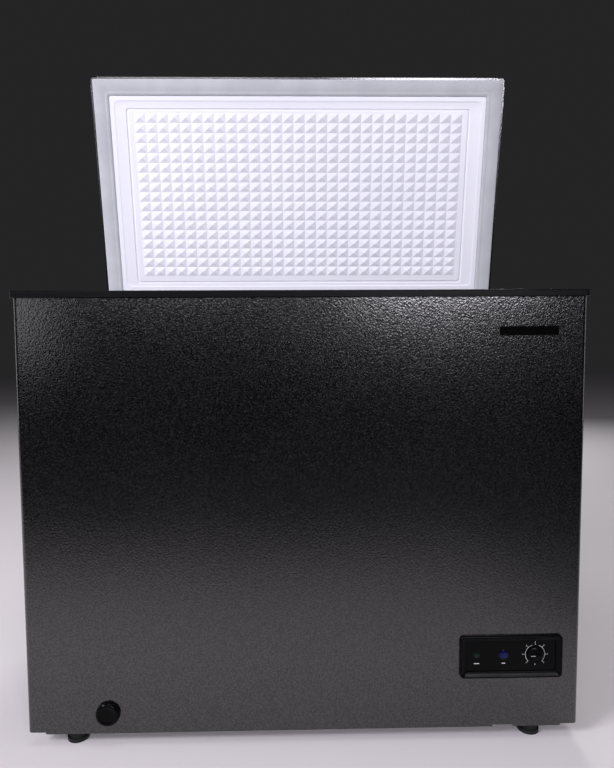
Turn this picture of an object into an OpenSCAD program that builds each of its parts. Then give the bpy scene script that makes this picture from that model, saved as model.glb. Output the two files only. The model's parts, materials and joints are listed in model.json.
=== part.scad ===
// Chest freezer with a hinged top lid, a hanging wire basket, a drain and a
// compressor bay. Millimetres, +Z up. The front is towards -Y. The origin is
// on the floor, below the middle of the freezer with its lid open.

/* [Cabinet] */
// Width of the painted outer wrap
body_w = 935; // [820:5:1100]
// Depth of the outer wrap, front face to back panel
body_d = 500; // [460:5:620]
// Height of the outer wrap
body_h = 728; // [660:4:820]
// Thickness of the steel sheet
sheet_t = 1; // [0.6:0.1:1.4]
// Radius of the wrap's vertical front edges
body_corner_r = 8; // [4:1:14]

/* [Base] */
// Height of the feet below the base rails
foot_h = 20; // [12:1:40]
// Radius of a foot
foot_r = 18; // [12:1:19]
// Radius of a foot's stud
foot_stud_r = 4; // [3:0.5:5]
// Distance of the feet from the sides
foot_inset = 75; // [55:5:110]
// Height of the base rails
rail_h = 6; // [5:1:12]
// Depth of a base rail, front to back
rail_d = 46; // [43:1:56]
// Thickness of a base rail's steel
rail_t = 1.5; // [1:0.1:2]
// How far a rail sits in from the face above it
rail_inset = 4; // [2:1:8]
// How far a rail's ends stop short of the sides
rail_end_gap = 27; // [10:1:40]
// Width of the notch in the front rail
rail_notch_w = 36; // [20:2:50]
// Distance of the notch's middle from the right-hand side
rail_notch_in = 127.5; // [117.5:0.5:157.5]

/* [Insulation] */
// Thickness of the insulated side walls
side_wall = 62; // [50:1:75]
// Thickness of the insulated front wall
front_wall = 54; // [44:1:64]
// Thickness of the insulated back wall
back_wall = 46; // [40:1:60]
// Thickness of the insulated floor
floor_wall = 55; // [50:1:70]
// Thickness of the insulation around the machine bay
bay_wall = 50; // [40:1:60]

/* [Tank] */
// Thickness of the tank's sheet
tank_t = 1; // [0.6:0.1:1.5]
// Radius of the tank's vertical inside corners
tank_r = 24; // [16:1:30]
// Width of the step over the machine bay
step_w = 215; // [205:5:240]
// Height of the step above the tank floor
step_h = 235; // [225:5:270]

/* [Top frame] */
// Height of the plastic top frame
rim_h = 11; // [9:1:14]
// How far the top frame stands out past the wrap
rim_over = 5; // [3:0.5:7]
// Corner radius of the top frame
rim_r = 10; // [9:1:20]
// Rounding of the top frame's upper edge
rim_edge_r = 3; // [1:0.5:4]
// Width of the ledge that carries the basket
ledge_w = 8; // [7:0.5:10]
// Depth of the ledge below the top of the frame
ledge_drop = 8; // [7:0.5:8.5]
// Depth of the frame's lip inside the tank
lip_h = 25; // [18:1:40]
// Thickness of that lip
lip_t = 1.5; // [1:0.1:2.5]

/* [Lid] */
// Opening angle at which the lid stands
open_angle = 80; // [65:1:88]
// Gap between the top frame and the lid's edge when closed
lid_gap = 5; // [4:0.5:8]
// Height of the lid's shell
lid_h = 80; // [64:1:100]
// Corner radius of the lid's shell
lid_r = 6; // [4:1:16]
// Rounding of the lid's upper edge
lid_edge_r = 8; // [4:1:8.5]
// Width of the border between the lid's edge and its liner, at the front and the sides
lid_border = 40; // [34:1:44]
// Width of that border at the back
lid_back_border = 30; // [26:1:40]
// Width of the shell's folded lip around the gasket
lid_lip = 4.5; // [3:0.5:6]
// Thickness of the liner's sheet
liner_t = 2.5; // [2:0.1:3]
// Depth of the raised part of the liner
liner_raise = 6; // [4:0.5:6.5]
// Width of the shoulder around the liner's raised part
shoulder_w = 11; // [6:0.5:13]
// Clearance between the gasket and what is around it
gasket_clear = 0.3; // [0.2:0.1:0.5]
// Edge radius of the gasket
gasket_r = 3; // [1:0.5:4]

/* [Embossing] */
// Distance from the liner's raised edge to the groove at the sides
groove_side = 35; // [26:0.5:44]
// Distance from the liner's raised edge to the groove at the front
groove_front = 28.5; // [20:0.5:34]
// Distance from the liner's raised edge to the groove at the back
groove_back = 20.5; // [17:0.5:30]
// Width of the groove around the embossed field
groove_w = 3; // [2:0.5:5]
// Depth of the groove
groove_h = 1.5; // [0.5:0.1:1.5]
// Number of pyramids across
pyramid_columns = 29; // [15:1:31]
// Number of pyramids from front to back
pyramid_rows = 17; // [9:1:19]
// Plain border between the groove and the pyramids at the sides
pyramid_side = 17; // [8:1:24]
// Plain border between the groove and the pyramids at the front
pyramid_front = 5.5; // [3:0.5:16]
// Plain border between the groove and the pyramids at the back
pyramid_back = 13.5; // [3:0.5:20]
// Height of a pyramid
pyramid_h = 4.5; // [2:0.5:5]

/* [Lid handle] */
// Width of the handle
handle_w = 248; // [160:4:320]
// Height of the handle
handle_h = 46; // [40:1:54]
// Depth of the finger pocket
pocket_d = 26; // [20:1:34]
// Wall of the handle's moulding
handle_t = 2.5; // [2:0.1:3.5]

/* [Hinges] */
// Distance of a hinge's middle from the side
hinge_in = 167.5; // [87.5:5:267.5]
// Distance of the pivot behind the back panel
pivot_back = 16; // [15:0.5:20]
// Radius of the hinge pins
pin_r = 4; // [3:0.25:4.5]
// Radial running clearance of a pin
pin_clear = 0.05; // [0.03:0.01:0.08]
// Radius of the knuckle and of the ears around the pin
knuckle_r = 7.5; // [6.5:0.25:8]
// Length of the lid leaf's knuckle
knuckle_w = 26; // [16:1:30]
// Thickness of the hinge plates
hinge_t = 2.5; // [2:0.1:3]
// Width of the hinge plates
hinge_w = 64; // [60:1:80]
// Height of the plate on the cabinet
hinge_base_h = 100; // [80:2:140]
// Wire radius of the counterbalance springs
spring_wire_r = 1; // [0.8:0.1:1.3]

/* [Control panel] */
// Distance of the control panel's middle from the right-hand side
control_in = 117.5; // [112.5:0.5:122.5]
// Height of the control panel above the base of the wrap
control_up = 121; // [100:1:150]
// Width of the bezel
bezel_w = 175; // [172:1:184]
// Height of the bezel
bezel_h = 74; // [72:1:84]
// How far the bezel stands out
bezel_proud = 5; // [3:0.5:7]
// Width of the bezel's border around the fascia
bezel_border = 10.5; // [10:0.5:11]
// Radius of the power lamp
power_lamp_r = 5.5; // [3:0.5:7]
// Radius of the run lamp
run_lamp_r = 8.5; // [5:0.5:10]
// Radius of the thermostat knob
knob_r = 13; // [10:0.5:15]
// Radius of the thermostat shaft
shaft_r = 3; // [2:0.5:4]
// Depth of the control box
control_box_d = 44; // [38:1:60]

/* [Badge] */
// Width of the bare badge plate
badge_w = 97; // [60:1:120]
// Height of the badge plate
badge_h = 15; // [10:1:25]

/* [Drain] */
// Distance of the drain from the left-hand side
drain_in = 135.5; // [107.5:4:267.5]
// Height of the drain above the base of the wrap
drain_up = 32; // [30:1:34]
// Distance of the tank's drain hole from the front face
drain_y = 110; // [90:5:150]
// Outer radius of the drain tube
drain_r = 9; // [7:0.5:10]
// Wall of the drain tube
drain_t = 2; // [1:0.1:2.5]
// Radius of the drain cap
cap_r = 20; // [15:0.5:24]
// How far the drain cap stands out
cap_proud = 8; // [6:0.5:11]

/* [Refrigeration] */
// Radius of the compressor pot
pot_r = 75; // [65:1:80]
// Height of the pot's straight side
pot_h = 90; // [70:2:110]
// Distance of the pot's middle from the back
pot_back = 170; // [160:2:180]
// Radius of the evaporator tube
evap_r = 4; // [3:0.5:4.5]
// Number of turns of the evaporator tube
evap_turns = 5; // [3:1:5]
// Radius of the condenser tube
cond_r = 2.5; // [2:0.5:3]
// Number of runs of the condenser tube, an even number
cond_runs = 6; // [4:2:6]
// Spacing of the evaporator's turns
coil_pitch = 70; // [56:1:72]

/* [Basket] */
// Width of the basket
basket_w = 260; // [200:5:320]
// Height of the basket
basket_h = 180; // [140:5:240]
// Place of the basket's middle, left of the middle of the tank
basket_x = 225; // [200:5:240]
// Radius of the basket's frame wire
frame_wire_r = 2.5; // [2:0.25:2.75]
// Radius of the basket's mesh wire
mesh_wire_r = 1.5; // [1:0.25:2]
// Largest spacing of the mesh wires
mesh_pitch = 34; // [26:1:60]

/* [Hidden] */
$fn = 48;
eps = 0.01;

// Heights
base_z = foot_h + rail_h;
body_top = base_z + body_h;
rim_top = body_top + rim_h;
ledge_z = rim_top - ledge_drop;
lid_z = rim_top + lid_gap;
lid_top = lid_z + lid_h;

// Places that keep their distance from the sides
control_x = body_w / 2 - control_in;
drain_x = body_w / 2 - drain_in;
hinge_x = body_w / 2 - hinge_in;
rail_notch_x = body_w / 2 - rail_notch_in;

// Tank
tank_w = body_w - 2 * side_wall;
tank_d = body_d - front_wall - back_wall;
tank_y = front_wall + tank_d / 2;
tank_back = front_wall + tank_d;
tank_floor = base_z + floor_wall;
step_x = tank_w / 2 - step_w;
step_z = tank_floor + step_h;

// Machine bay, under the tank's step at the right-hand end
bay_x = step_x + bay_wall;
bay_right = body_w / 2 - sheet_t;
bay_mid = (bay_x + bay_right) / 2;
bay_z = step_z - bay_wall;
tray_t = 2;
tray_z = base_z + tray_t;

// Lid
lid_w = body_w + 2 * rim_over;
lid_d = body_d + 2 * rim_over;
lid_y = body_d / 2;
pivot_y = body_d + pivot_back;
pivot_z = lid_z;
liner_z = lid_z + 4;
face_z = liner_z - liner_raise;
seal_gap = 0.4;

// Middle of the open freezer from front to back, which is where the origin lies
front_reach = max(rim_over, bezel_proud, cap_proud, knob_proud());
back_edge_y = body_d + rim_over - lid_edge_r - pivot_y;
back_edge_z = lid_h - lid_edge_r;
back_reach = pivot_y + back_edge_y * cos(open_angle) + back_edge_z * sin(open_angle) + lid_edge_r;
middle_y = (back_reach - front_reach) / 2;

function knob_proud() = bezel_proud + 1;

// Feet
foot_x = body_w / 2 - foot_inset;
foot_front_y = rail_inset + rail_d / 2;
foot_rear_y = body_d - foot_front_y;
foot_places = [for (x = [-foot_x, foot_x], y = [foot_front_y, foot_rear_y]) [x, y]];
stud_up = 4;
foot_pad_part = 0.3;
foot_step = 3;
hole_clear = 0.2;

// Controls
control_z = base_z + control_up;
fascia_y = 1;
fascia_t = 2.5;
fascia_w = bezel_w - 2 * bezel_border;
fascia_h = bezel_h - 2 * bezel_border;
fit_gap = 0.5;
collar_t = 4;
collar_d = fascia_y + fascia_t + fit_gap;
bezel_r = 7;
ridge_round = 2;
bezel_depth = 4 * bezel_proud + 2 * collar_d;
power_x = control_x - 58;
run_x = control_x - 12;
knob_x = control_x + 42;
control_mid_z = control_z + 2;

// Drain
drain_z = base_z + drain_up;
drain_bend = 14;
drain_path = [[-drain_x, drain_y, tank_floor], [-drain_x, drain_y, drain_z], [-drain_x, 0, drain_z]];
stem_clear = 0.3;
stem_r = drain_r - drain_t - stem_clear;

// Compressor
pot_x = bay_mid;
pot_y = body_d - pot_back;
mount_h = 12;
plate_t = 3;
plate_z = tray_z + mount_h;
pot_z = plate_z + plate_t - 2;
pot_cap_r = 1.6 * pot_r;
pot_cap_h = pot_cap_r - sqrt(pot_cap_r * pot_cap_r - pot_r * pot_r);
pot_top = pot_z + 2 * pot_cap_h + pot_h;
mount_x = pot_r - 10;
mount_y = pot_r - 25;
mount_r = 11;
mount_head_h = 5;
pot_seam = 3;
pot_seam_h = 5;
mount_places = [for (x = [-mount_x, mount_x], y = [-mount_y, mount_y]) [pot_x + x, pot_y + y]];
compressor_stud_r = 3;
washer_t = 1.5;
nut_h = 5;

// Tubes
evap_off = tank_t + evap_r + 0.3;
evap_bend = 20;
evap_y = tank_back + evap_off;
evap_x = pot_x - 36;
evap_top_z = body_top - 50;
function evap_z(i) = evap_top_z - i * coil_pitch;
evap_end_z = evap_z(evap_turns - 1) - 30;
cond_off = sheet_t + cond_r + 0.3;
cond_bend = 14;
cond_x = body_w / 2 - cond_off;
cond_y = body_d - 40;
discharge_x = pot_x + 30;
discharge_y = cond_y;
discharge_z = bay_z + 20;
cond_rise = 68;
cond_low_z = discharge_z + cond_rise;
cond_pitch = (body_top - 50 - cond_low_z) / (cond_runs - 1);
function cond_z(i) = cond_low_z + i * cond_pitch;
cond_start_z = cond_low_z - cond_rise / 2;
channel_gap = 0.5;
line_bend = 12;
suction_bay_z = bay_z - 24;
stub_y = pot_y + 30;

// Hinges
ear_t = hinge_t;
ear_x = hinge_w / 2 - ear_t - 1;
ear_r = knuckle_r + 1;
pin_head_t = 2;
hinge_base_top = body_top - 4;
leaf_up = 10;
leaf_h = lid_h - leaf_up - lid_edge_r - 4;
screw_r = 2;
screw_head_r = 4.2;
screw_head_h = 2;
screw_len = 14;
hinge_screw_x = hinge_w / 2 - 8;
base_screw_z = [hinge_base_top - hinge_base_h + 12, hinge_base_top - hinge_base_h + 44];
leaf_screw_z = [lid_z + leaf_up + 14, lid_z + leaf_up + leaf_h - 12];

// Basket
basket_clear = 14;
rest_gap = 0.3;
basket_top = ledge_z + 2 * frame_wire_r + rest_gap;
basket_front_y = front_wall + basket_clear;
basket_back_y = tank_back - basket_clear;
basket_mid_y = (basket_front_y + basket_back_y) / 2;
basket_d = basket_back_y - basket_front_y;
basket_floor_z = basket_top - basket_h;
wire_gap = 0.05;

// Sensing tube, badge and small control sizes
sensor_r = 1.2;
sensor_y = control_box_d + 12;
sensor_up = 40;
lens_back = 5;
box_t = 2;
knob_h = knob_proud() + fascia_y - fit_gap;
knob_skirt_h = 2.5;
knob_step = 2;
knob_grip_t = 4;
knob_bore_d = 2;
thermostat_x = 17;
thermostat_z = 16;
thermostat_y = fascia_y + fascia_t + 9;
thermostat_back_y = control_box_d - box_t;
shaft_back_y = thermostat_back_y - 8;
badge_x = body_w / 2 - 97;
badge_z = body_top - 56;
badge_t = 2;
stopper_depth = 6;
stopper_r = 1.7 * drain_r;
stopper_t = 3;
stopper_knob_r = 3;
stopper_knob_h = 8;

// Machine bay details
neck_r = 7;
relay_w = 58;
relay_d = 44;
relay_h = 40;
relay_r = 5;
relay_out = 8;
relay_up = 4;
relay_clear = 0.3;
relay_front = relay_out + relay_d / 2;
relay_mid_z = pot_z + pot_cap_h + relay_up + relay_h / 2;
harness_r = 3;
harness_bend = 9;
harness_y = pot_y - pot_r - relay_front - 25;
capillary_r = 1.2;
drier_x = bay_x + 22;
drier_y = body_d - 50;
drier_z = tray_z + 40;
drier_r = 9;
drier_h = 90;
drier_stub = 8;
drier_top = drier_z + drier_h + drier_stub;
loop_top = drier_top + 30;
loop_low = drier_z + 40;
loop_y = drier_y - 60;
loop_bend = 8;
capillary_y = loop_y - 50;
discharge_bay_z = bay_z - 40;
grille_t = 2;
grille_lap = 10;
grille_slot_w = bay_right - bay_x - 50;
grille_pitch = 14;
grille_slot_h = 5;
grille_low_z = tray_z + 90;
grille_slots = floor((bay_z - grille_low_z - 20) / grille_pitch);
grille_screw_len = 10;
grille_screw_places = [[bay_x - grille_lap / 2, base_z + 40], [bay_x - grille_lap / 2, bay_z - 30],
    [bay_x + 40, bay_z + grille_lap / 2], [bay_right - 40, bay_z + grille_lap / 2]];
gland_x = bay_right - 45;
gland_z = tray_z + 45;
gland_r = 8;
gland_bore_r = 4.2;
gland_head_h = 5;
gland_inside = 10;

// Springs
spring_mean_r = pin_r + spring_wire_r + 0.5;
spring_mid = (knuckle_w / 2 + ear_x) / 2;
spring_coils = floor((ear_x - knuckle_w / 2 - 2) / (1.9 * spring_wire_r));

// Liner, gasket and corner pieces
raised_w = lid_w - 2 * lid_border;
raised_d = lid_d - lid_border - lid_back_border;
raised_y = lid_y + (lid_border - lid_back_border) / 2;
shoulder_drop = 2;
raised_r = 4;
shoulder_r = 14;
groove_r = 5;
groove_span = raised_w - 2 * groove_side;
groove_d = raised_d - groove_front - groove_back;
groove_y = raised_y + (groove_front - groove_back) / 2;
field_w = groove_span - groove_w - 2 * pyramid_side;
field_d = groove_d - groove_w - pyramid_front - pyramid_back;
field_y = groove_y + (pyramid_front - pyramid_back) / 2;
flange_w = lid_w - 2 * sheet_t - 2 * gasket_clear;
flange_d = lid_d - 2 * sheet_t - 2 * gasket_clear;
flange_r = lid_r - sheet_t - gasket_clear;
gasket_w = lid_w - 2 * lid_lip - 2 * gasket_clear;
gasket_d = lid_d - 2 * lid_lip - 2 * gasket_clear;
gasket_bar = lid_border - lid_lip - 2 * gasket_clear;
gasket_back_bar = lid_back_border - lid_lip - 2 * gasket_clear;
gasket_corner_r = 4;
gasket_h = liner_z - rim_top - seal_gap;
handle_proud = 2.5;
handle_rim_x = 8;
handle_rim_z = 7;
corner_t = 1.2;
corner_h = 9;
corner_reach = 16;

// Basket panels, inside the frame's wires
weld = 0.1;
floor_x = basket_w / 2 - 2 * frame_wire_r - 2 * mesh_wire_r - 2 * wire_gap;
floor_y = basket_d / 2 - 2 * frame_wire_r - 2 * mesh_wire_r - 2 * wire_gap;
panel_x = floor_x + mesh_wire_r + wire_gap;
panel_y = floor_y + mesh_wire_r + wire_gap;
mesh_inset = 8;
end_trim = 5;
panel_low = basket_floor_z;
panel_high = basket_top - 2 * frame_wire_r;

// Moves what is drawn in the cabinet's own frame, front face at y = 0, to the origin
module placed() translate([0, -middle_y, 0]) children();

// Draws a lid piece closed and then stands it open about the hinge pins
module on_lid()
    placed() translate([0, pivot_y, pivot_z]) rotate([-open_angle, 0, 0])
        translate([0, -pivot_y, -pivot_z]) children();

module rounded_rect(w, d, r) {
    square([w - 2 * r, d], center = true);
    square([w, d - 2 * r], center = true);
    for (x = [-1, 1], y = [-1, 1])
        translate([x * (w / 2 - r), y * (d / 2 - r)]) circle(r = r);
}

module rounded_plate(w, d, h, r) linear_extrude(h) rounded_rect(w, d, r);

// Section of a plate of width w and height h whose upper edges are rounded by e
module soft_profile(w, h, e) {
    translate([-w / 2, 0]) square([w, h - e]);
    translate([e - w / 2, 0]) square([w - 2 * e, h]);
    for (s = [-1, 1])
        translate([s * (w / 2 - e), h - e]) circle(r = e);
}

// A plate with corner radius r whose upper edge is rounded by e
module soft_plate(w, d, h, r, e)
    intersection() {
        rounded_plate(w, d, h, r);
        rotate([90, 0, 90]) linear_extrude(2 * w, center = true) soft_profile(d, h, e);
        rotate([90, 0, 0]) linear_extrude(2 * d, center = true) soft_profile(w, h, e);
    }

// A cut through height h whose opening of w by d is rounded outwards by e at its lower edge
module soft_opening(w, d, h, e)
    intersection() {
        rotate([90, 0, 90]) linear_extrude(w + 4 * e, center = true) flared_profile(d, h, e);
        rotate([90, 0, 0]) linear_extrude(d + 4 * e, center = true) flared_profile(w, h, e);
    }

// Section of that cut; it runs past both faces
module flared_profile(w, h, e) {
    translate([-w / 2, -e]) square([w, h + 2 * e]);
    for (s = [-1, 1])
        difference() {
            translate([s * (w + e) / 2, 0]) square([e, 2 * e], center = true);
            translate([s * (w / 2 + e), e]) circle(r = e);
        }
}

// A block from one corner to the opposite corner
module block(low, high) translate(low) cube(high - low);

// A straight round bar between two points
module rod(a, b, r) {
    d = b - a;
    translate(a) rotate([0, acos(d[2] / norm(d)), atan2(d[1], d[0])]) cylinder(r = r, h = norm(d));
}

// A quarter bend at corner p, from direction a to direction b
module quarter_bend(p, a, b, r, bend_r) {
    c = p - bend_r * a + bend_r * b;
    n = cross(-b, a);
    multmatrix([for (k = [0 : 2]) [-b[k], a[k], n[k], c[k]]])
        rotate_extrude(angle = 90) translate([bend_r, 0]) circle(r = r);
}

function heading(path, i) = (path[i + 1] - path[i]) / norm(path[i + 1] - path[i]);

// A round pipe along a path of square corners
module pipe(path, r, bend_r) {
    last = len(path) - 1;
    for (i = [0 : last - 1])
        rod(path[i] + (i == 0 ? 0 : bend_r) * heading(path, i),
            path[i + 1] - (i == last - 1 ? 0 : bend_r) * heading(path, i), r);
    for (i = [1 : last - 1])
        quarter_bend(path[i], heading(path, i - 1), heading(path, i), r, bend_r);
}

// A bar along X with mitred ends: its profile's x runs inwards and its y runs up
module mitred_bar(length, depth, height)
    intersection() {
        rotate([90, 0, 90]) linear_extrude(length, center = true) children();
        translate([0, 0, -height]) linear_extrude(2 * height)
            polygon([
                [-length / 2, 0], [length / 2, 0],
                [length / 2 - depth, depth], [depth - length / 2, depth]
            ]);
    }

// Turns a bar drawn along the front so that it lies along another side, out at distance reach
module along_side(angle, reach) rotate([0, 0, angle]) translate([0, -reach, 0]) children();

// A shape drawn flat is stood up so that it faces the front at height z
module facing_front(x, y, z) translate([x, y, z]) rotate([90, 0, 0]) children();

// ---------------------------------------------------------------- cabinet

// Plan of the body with all its vertical faces moved inwards, from the front to y = back
module body_outline(inset, back = body_d, corner = 0) {
    r = max(body_corner_r - inset, corner);
    intersection() {
        translate([0, inset + (body_d + r) / 2]) rounded_rect(body_w - 2 * inset, body_d + r, r);
        translate([-body_w / 2, 0]) square([body_w, back]);
    }
}

module outer_wrap() color([0.20, 0.20, 0.21]) placed()
    difference() {
        translate([0, 0, base_z]) linear_extrude(body_h)
            difference() {
                body_outline(0);
                body_outline(sheet_t, body_d + 1, 1);
            }
        facing_front(control_x, 0, control_z)
            cube([fascia_w + 2 * collar_t, fascia_h + 2 * collar_t, 4 * sheet_t], center = true);
        facing_front(-drain_x, 2 * sheet_t, drain_z) cylinder(r = drain_r, h = 4 * sheet_t);
    }

module back_panel() color([0.75, 0.75, 0.76]) placed()
    difference() {
        block([-bay_right, body_d - sheet_t, base_z], [bay_right, body_d, body_top]);
        block([bay_x, body_d - 2 * sheet_t, base_z - 1], [bay_right + 1, body_d + 1, bay_z]);
        hinge_holes(screw_r + hole_clear, 2 * sheet_t);
        grille_holes(2 * sheet_t);
    }

module bottom_pan() color([0.70, 0.70, 0.72]) placed()
    difference() {
        intersection() {
            translate([0, body_d - sheet_t, 0]) rotate([90, 0, 0]) linear_extrude(body_d - 2 * sheet_t)
                polygon([[-bay_right, base_z], [bay_x, base_z], [bay_x, bay_z - sheet_t],
                    [bay_right, bay_z - sheet_t], [bay_right, bay_z], [bay_x - sheet_t, bay_z],
                    [bay_x - sheet_t, base_z + sheet_t], [-bay_right, base_z + sheet_t]]);
            inside_wrap(bay_z);
        }
        foot_holes();
        line_ports();
    }

// The space inside the wrap's sheet, up to z = top
module inside_wrap(top)
    translate([0, 0, base_z]) linear_extrude(top - base_z) body_outline(sheet_t, body_d - sheet_t);

// Clearance holes for the foot studs
module foot_holes()
    for (p = foot_places) translate([p[0], p[1], base_z - rail_h])
        cylinder(r = foot_stud_r + hole_clear, h = rail_h + stud_up + hole_clear);

// Holes through the bay's ceiling for the tubes
module line_ports()
    for (p = [[evap_x, evap_y, evap_r], [discharge_x, discharge_y, cond_r], [knob_x, sensor_y, sensor_r],
            [drier_x, capillary_y, capillary_r]])
        translate([p[0], p[1], bay_z - 3 * sheet_t]) cylinder(r = p[2] + channel_gap, h = 4 * sheet_t);

module base_rail(y, notched)
    difference() {
        translate([0, y, foot_h]) rounded_plate(body_w - 2 * rail_end_gap, rail_d, rail_h, 2 * rail_t);
        translate([0, y, foot_h - 1])
            rounded_plate(
                body_w - 2 * rail_end_gap - 2 * rail_t, rail_d - 2 * rail_t, rail_h - rail_t + 1, rail_t);
        foot_holes();
        if (notched)
            block([rail_notch_x - rail_notch_w / 2, 0, foot_h - 1],
                [rail_notch_x + rail_notch_w / 2, rail_inset + 2 * rail_t, base_z - rail_t]);
    }

module front_rail() color([0.22, 0.22, 0.23]) placed() base_rail(foot_front_y, true);

module rear_rail() color([0.22, 0.22, 0.23]) placed() base_rail(foot_rear_y, false);

// A foot stands in the rail's hollow and its stud goes up through the rail and the floor
module foot(side, y) color([0.06, 0.06, 0.06]) placed()
    translate([side * foot_x, y, 0]) {
        cylinder(r = foot_r, h = foot_pad_part * foot_h);
        cylinder(r = foot_r - foot_step, h = foot_h + rail_h - rail_t);
        cylinder(r = foot_stud_r, h = base_z + stud_up);
    }

module tank_volume(grow, top) {
    translate([0, tank_y, step_z - grow])
        rounded_plate(tank_w + 2 * grow, tank_d + 2 * grow, top - step_z + grow, tank_r + grow);
    translate([-step_w / 2, tank_y, tank_floor - grow])
        rounded_plate(tank_w - step_w + 2 * grow, tank_d + 2 * grow, step_z - tank_floor + grow + eps,
            tank_r + grow);
}

module inner_tank() color([0.90, 0.91, 0.93]) placed()
    difference() {
        tank_volume(tank_t, body_top);
        tank_volume(0, body_top + 1);
        translate([-drain_x, drain_y, tank_floor - 2 * tank_t]) cylinder(r = drain_r, h = 4 * tank_t);
    }

// Room in the foam for a turn of tube round the tank at height z
module evaporator_channel(z)
    translate([0, tank_y, z - evap_r - channel_gap])
        rounded_plate(tank_w + 2 * (evap_off + evap_r + channel_gap),
            tank_d + 2 * (evap_off + evap_r + channel_gap), 2 * (evap_r + channel_gap), tank_r);

// Room in the foam for a run of tube behind the wrap at height z
module condenser_channel(z)
    translate([0, 0, z - cond_r - channel_gap]) linear_extrude(2 * (cond_r + channel_gap))
        difference() {
            body_outline(sheet_t / 2, cond_y + cond_bend);
            body_outline(
                cond_off + cond_r + channel_gap, cond_y + 2 * cond_bend, cond_bend - cond_r - channel_gap);
        }

// Room in the foam for an upright tube and its bends: half its width each way
module upright_channel(x, y, low, high, half_x, half_y)
    block([x - half_x, y - half_y, low], [x + half_x, y + half_y, high]);

module cabinet_foam() color([0.95, 0.88, 0.62]) placed()
    difference() {
        translate([0, 0, base_z + sheet_t]) linear_extrude(body_h - sheet_t)
            body_outline(sheet_t, body_d - sheet_t, 1);
        block([bay_x - sheet_t, 0, base_z], [body_w, body_d, bay_z]);
        tank_volume(tank_t, body_top + 1);
        for (i = [0 : evap_turns - 1])
            evaporator_channel(evap_z(i));
        upright_channel(
            evap_x, evap_y, bay_z - 1, evap_end_z + 1, evap_r + channel_gap, evap_r + channel_gap);
        upright_channel(evap_x, evap_y, evap_end_z, evap_top_z, evap_bend + evap_r, evap_r + channel_gap);
        for (i = [0 : cond_runs - 1])
            condenser_channel(cond_z(i));
        for (s = [-1, 1])
            upright_channel(s * cond_x, cond_y, discharge_z, cond_z(cond_runs - 1), cond_r + channel_gap,
                cond_bend + cond_r);
        block([discharge_x - cond_r - channel_gap, cond_y - cond_r - channel_gap, bay_z - 1],
            [body_w / 2, cond_y + cond_r + channel_gap, discharge_z + line_bend]);
        upright_channel(knob_x, sensor_y, bay_z - 1, bay_z + sensor_up + channel_gap, sensor_r + channel_gap,
            sensor_r + channel_gap);
        pipe(drain_path, drain_r, drain_bend);
        foot_holes();
        hinge_holes(screw_r + hole_clear, screw_len + 1);
        grille_holes(grille_screw_len);
    }

module top_frame() color([0.05, 0.05, 0.055]) placed()
    difference() {
        union() {
            translate([0, lid_y, body_top]) soft_plate(lid_w, lid_d, rim_h, rim_r, rim_edge_r);
            translate([0, tank_y, rim_top - lip_h])
                rounded_plate(tank_w, tank_d, lip_h - rim_edge_r, tank_r);
        }
        translate([0, tank_y, rim_top - lip_h - 1])
            rounded_plate(tank_w - 2 * lip_t, tank_d - 2 * lip_t, lip_h + 2, tank_r - lip_t);
        translate([0, tank_y, ledge_z])
            rounded_plate(tank_w + 2 * ledge_w, tank_d + 2 * ledge_w, rim_h, tank_r + ledge_w);
    }

// ---------------------------------------------------------------- controls

// Frame of four mitred bars: a rounded ridge, a slope down to the fascia and a collar behind
module control_bezel() color([0.05, 0.05, 0.055]) placed() facing_front(control_x, 0, control_z)
    intersection() {
        for (angle = [0 : 90 : 270]) {
            upright = angle % 180 == 90;
            along_side(angle, (upright ? bezel_w : bezel_h) / 2)
                mitred_bar(upright ? bezel_h : bezel_w, bezel_border, bezel_depth)
                    bezel_profile();
        }
        translate([0, 0, -2 * collar_d])
            rounded_plate(bezel_w, bezel_h, 2 * collar_d + 2 * bezel_proud, bezel_r);
    }

// Section of the bezel: a rounded ridge, a slope down to the fascia and the collar behind it
module bezel_profile()
    polygon([[0, 0], [0, bezel_proud - ridge_round], [0.4 * ridge_round, bezel_proud - 0.3 * ridge_round],
        [1.2 * ridge_round, bezel_proud], [2 * ridge_round, bezel_proud - 0.2 * ridge_round],
        [bezel_border - 1, 1], [bezel_border, 0.6], [bezel_border, -collar_d],
        [bezel_border - collar_t, -collar_d], [bezel_border - collar_t, 0]]);

module control_fascia() color([0.02, 0.02, 0.025]) placed()
    difference() {
        facing_front(control_x, fascia_y + fascia_t, control_z)
            rounded_plate(fascia_w - 2 * fit_gap, fascia_h - 2 * fit_gap, fascia_t, 2);
        for (p = [[power_x, power_lamp_r], [run_x, run_lamp_r], [knob_x, shaft_r + fit_gap]])
            facing_front(p[0], fascia_y + 2 * fascia_t, control_mid_z) cylinder(r = p[1], h = 3 * fascia_t);
    }

// A ball's cap of base radius r and height h, standing on z = 0
module dome(r, h) {
    ball_r = (r * r + h * h) / (2 * h);
    intersection() {
        translate([0, 0, h - ball_r]) sphere(r = ball_r);
        cylinder(r = r, h = 2 * h);
    }
}

// A lamp lens: a short barrel through the fascia with a domed front
module lens(x, r) placed()
    facing_front(x, fascia_y + fascia_t + lens_back, control_mid_z) {
        cylinder(r = r, h = fascia_t + lens_back);
        translate([0, 0, fascia_t + lens_back]) dome(r, 0.2 * r);
    }

module power_lamp() color([0.05, 0.32, 0.20]) lens(power_x, power_lamp_r);

module run_lamp() color([0.08, 0.12, 0.50]) lens(run_x, run_lamp_r);

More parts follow.
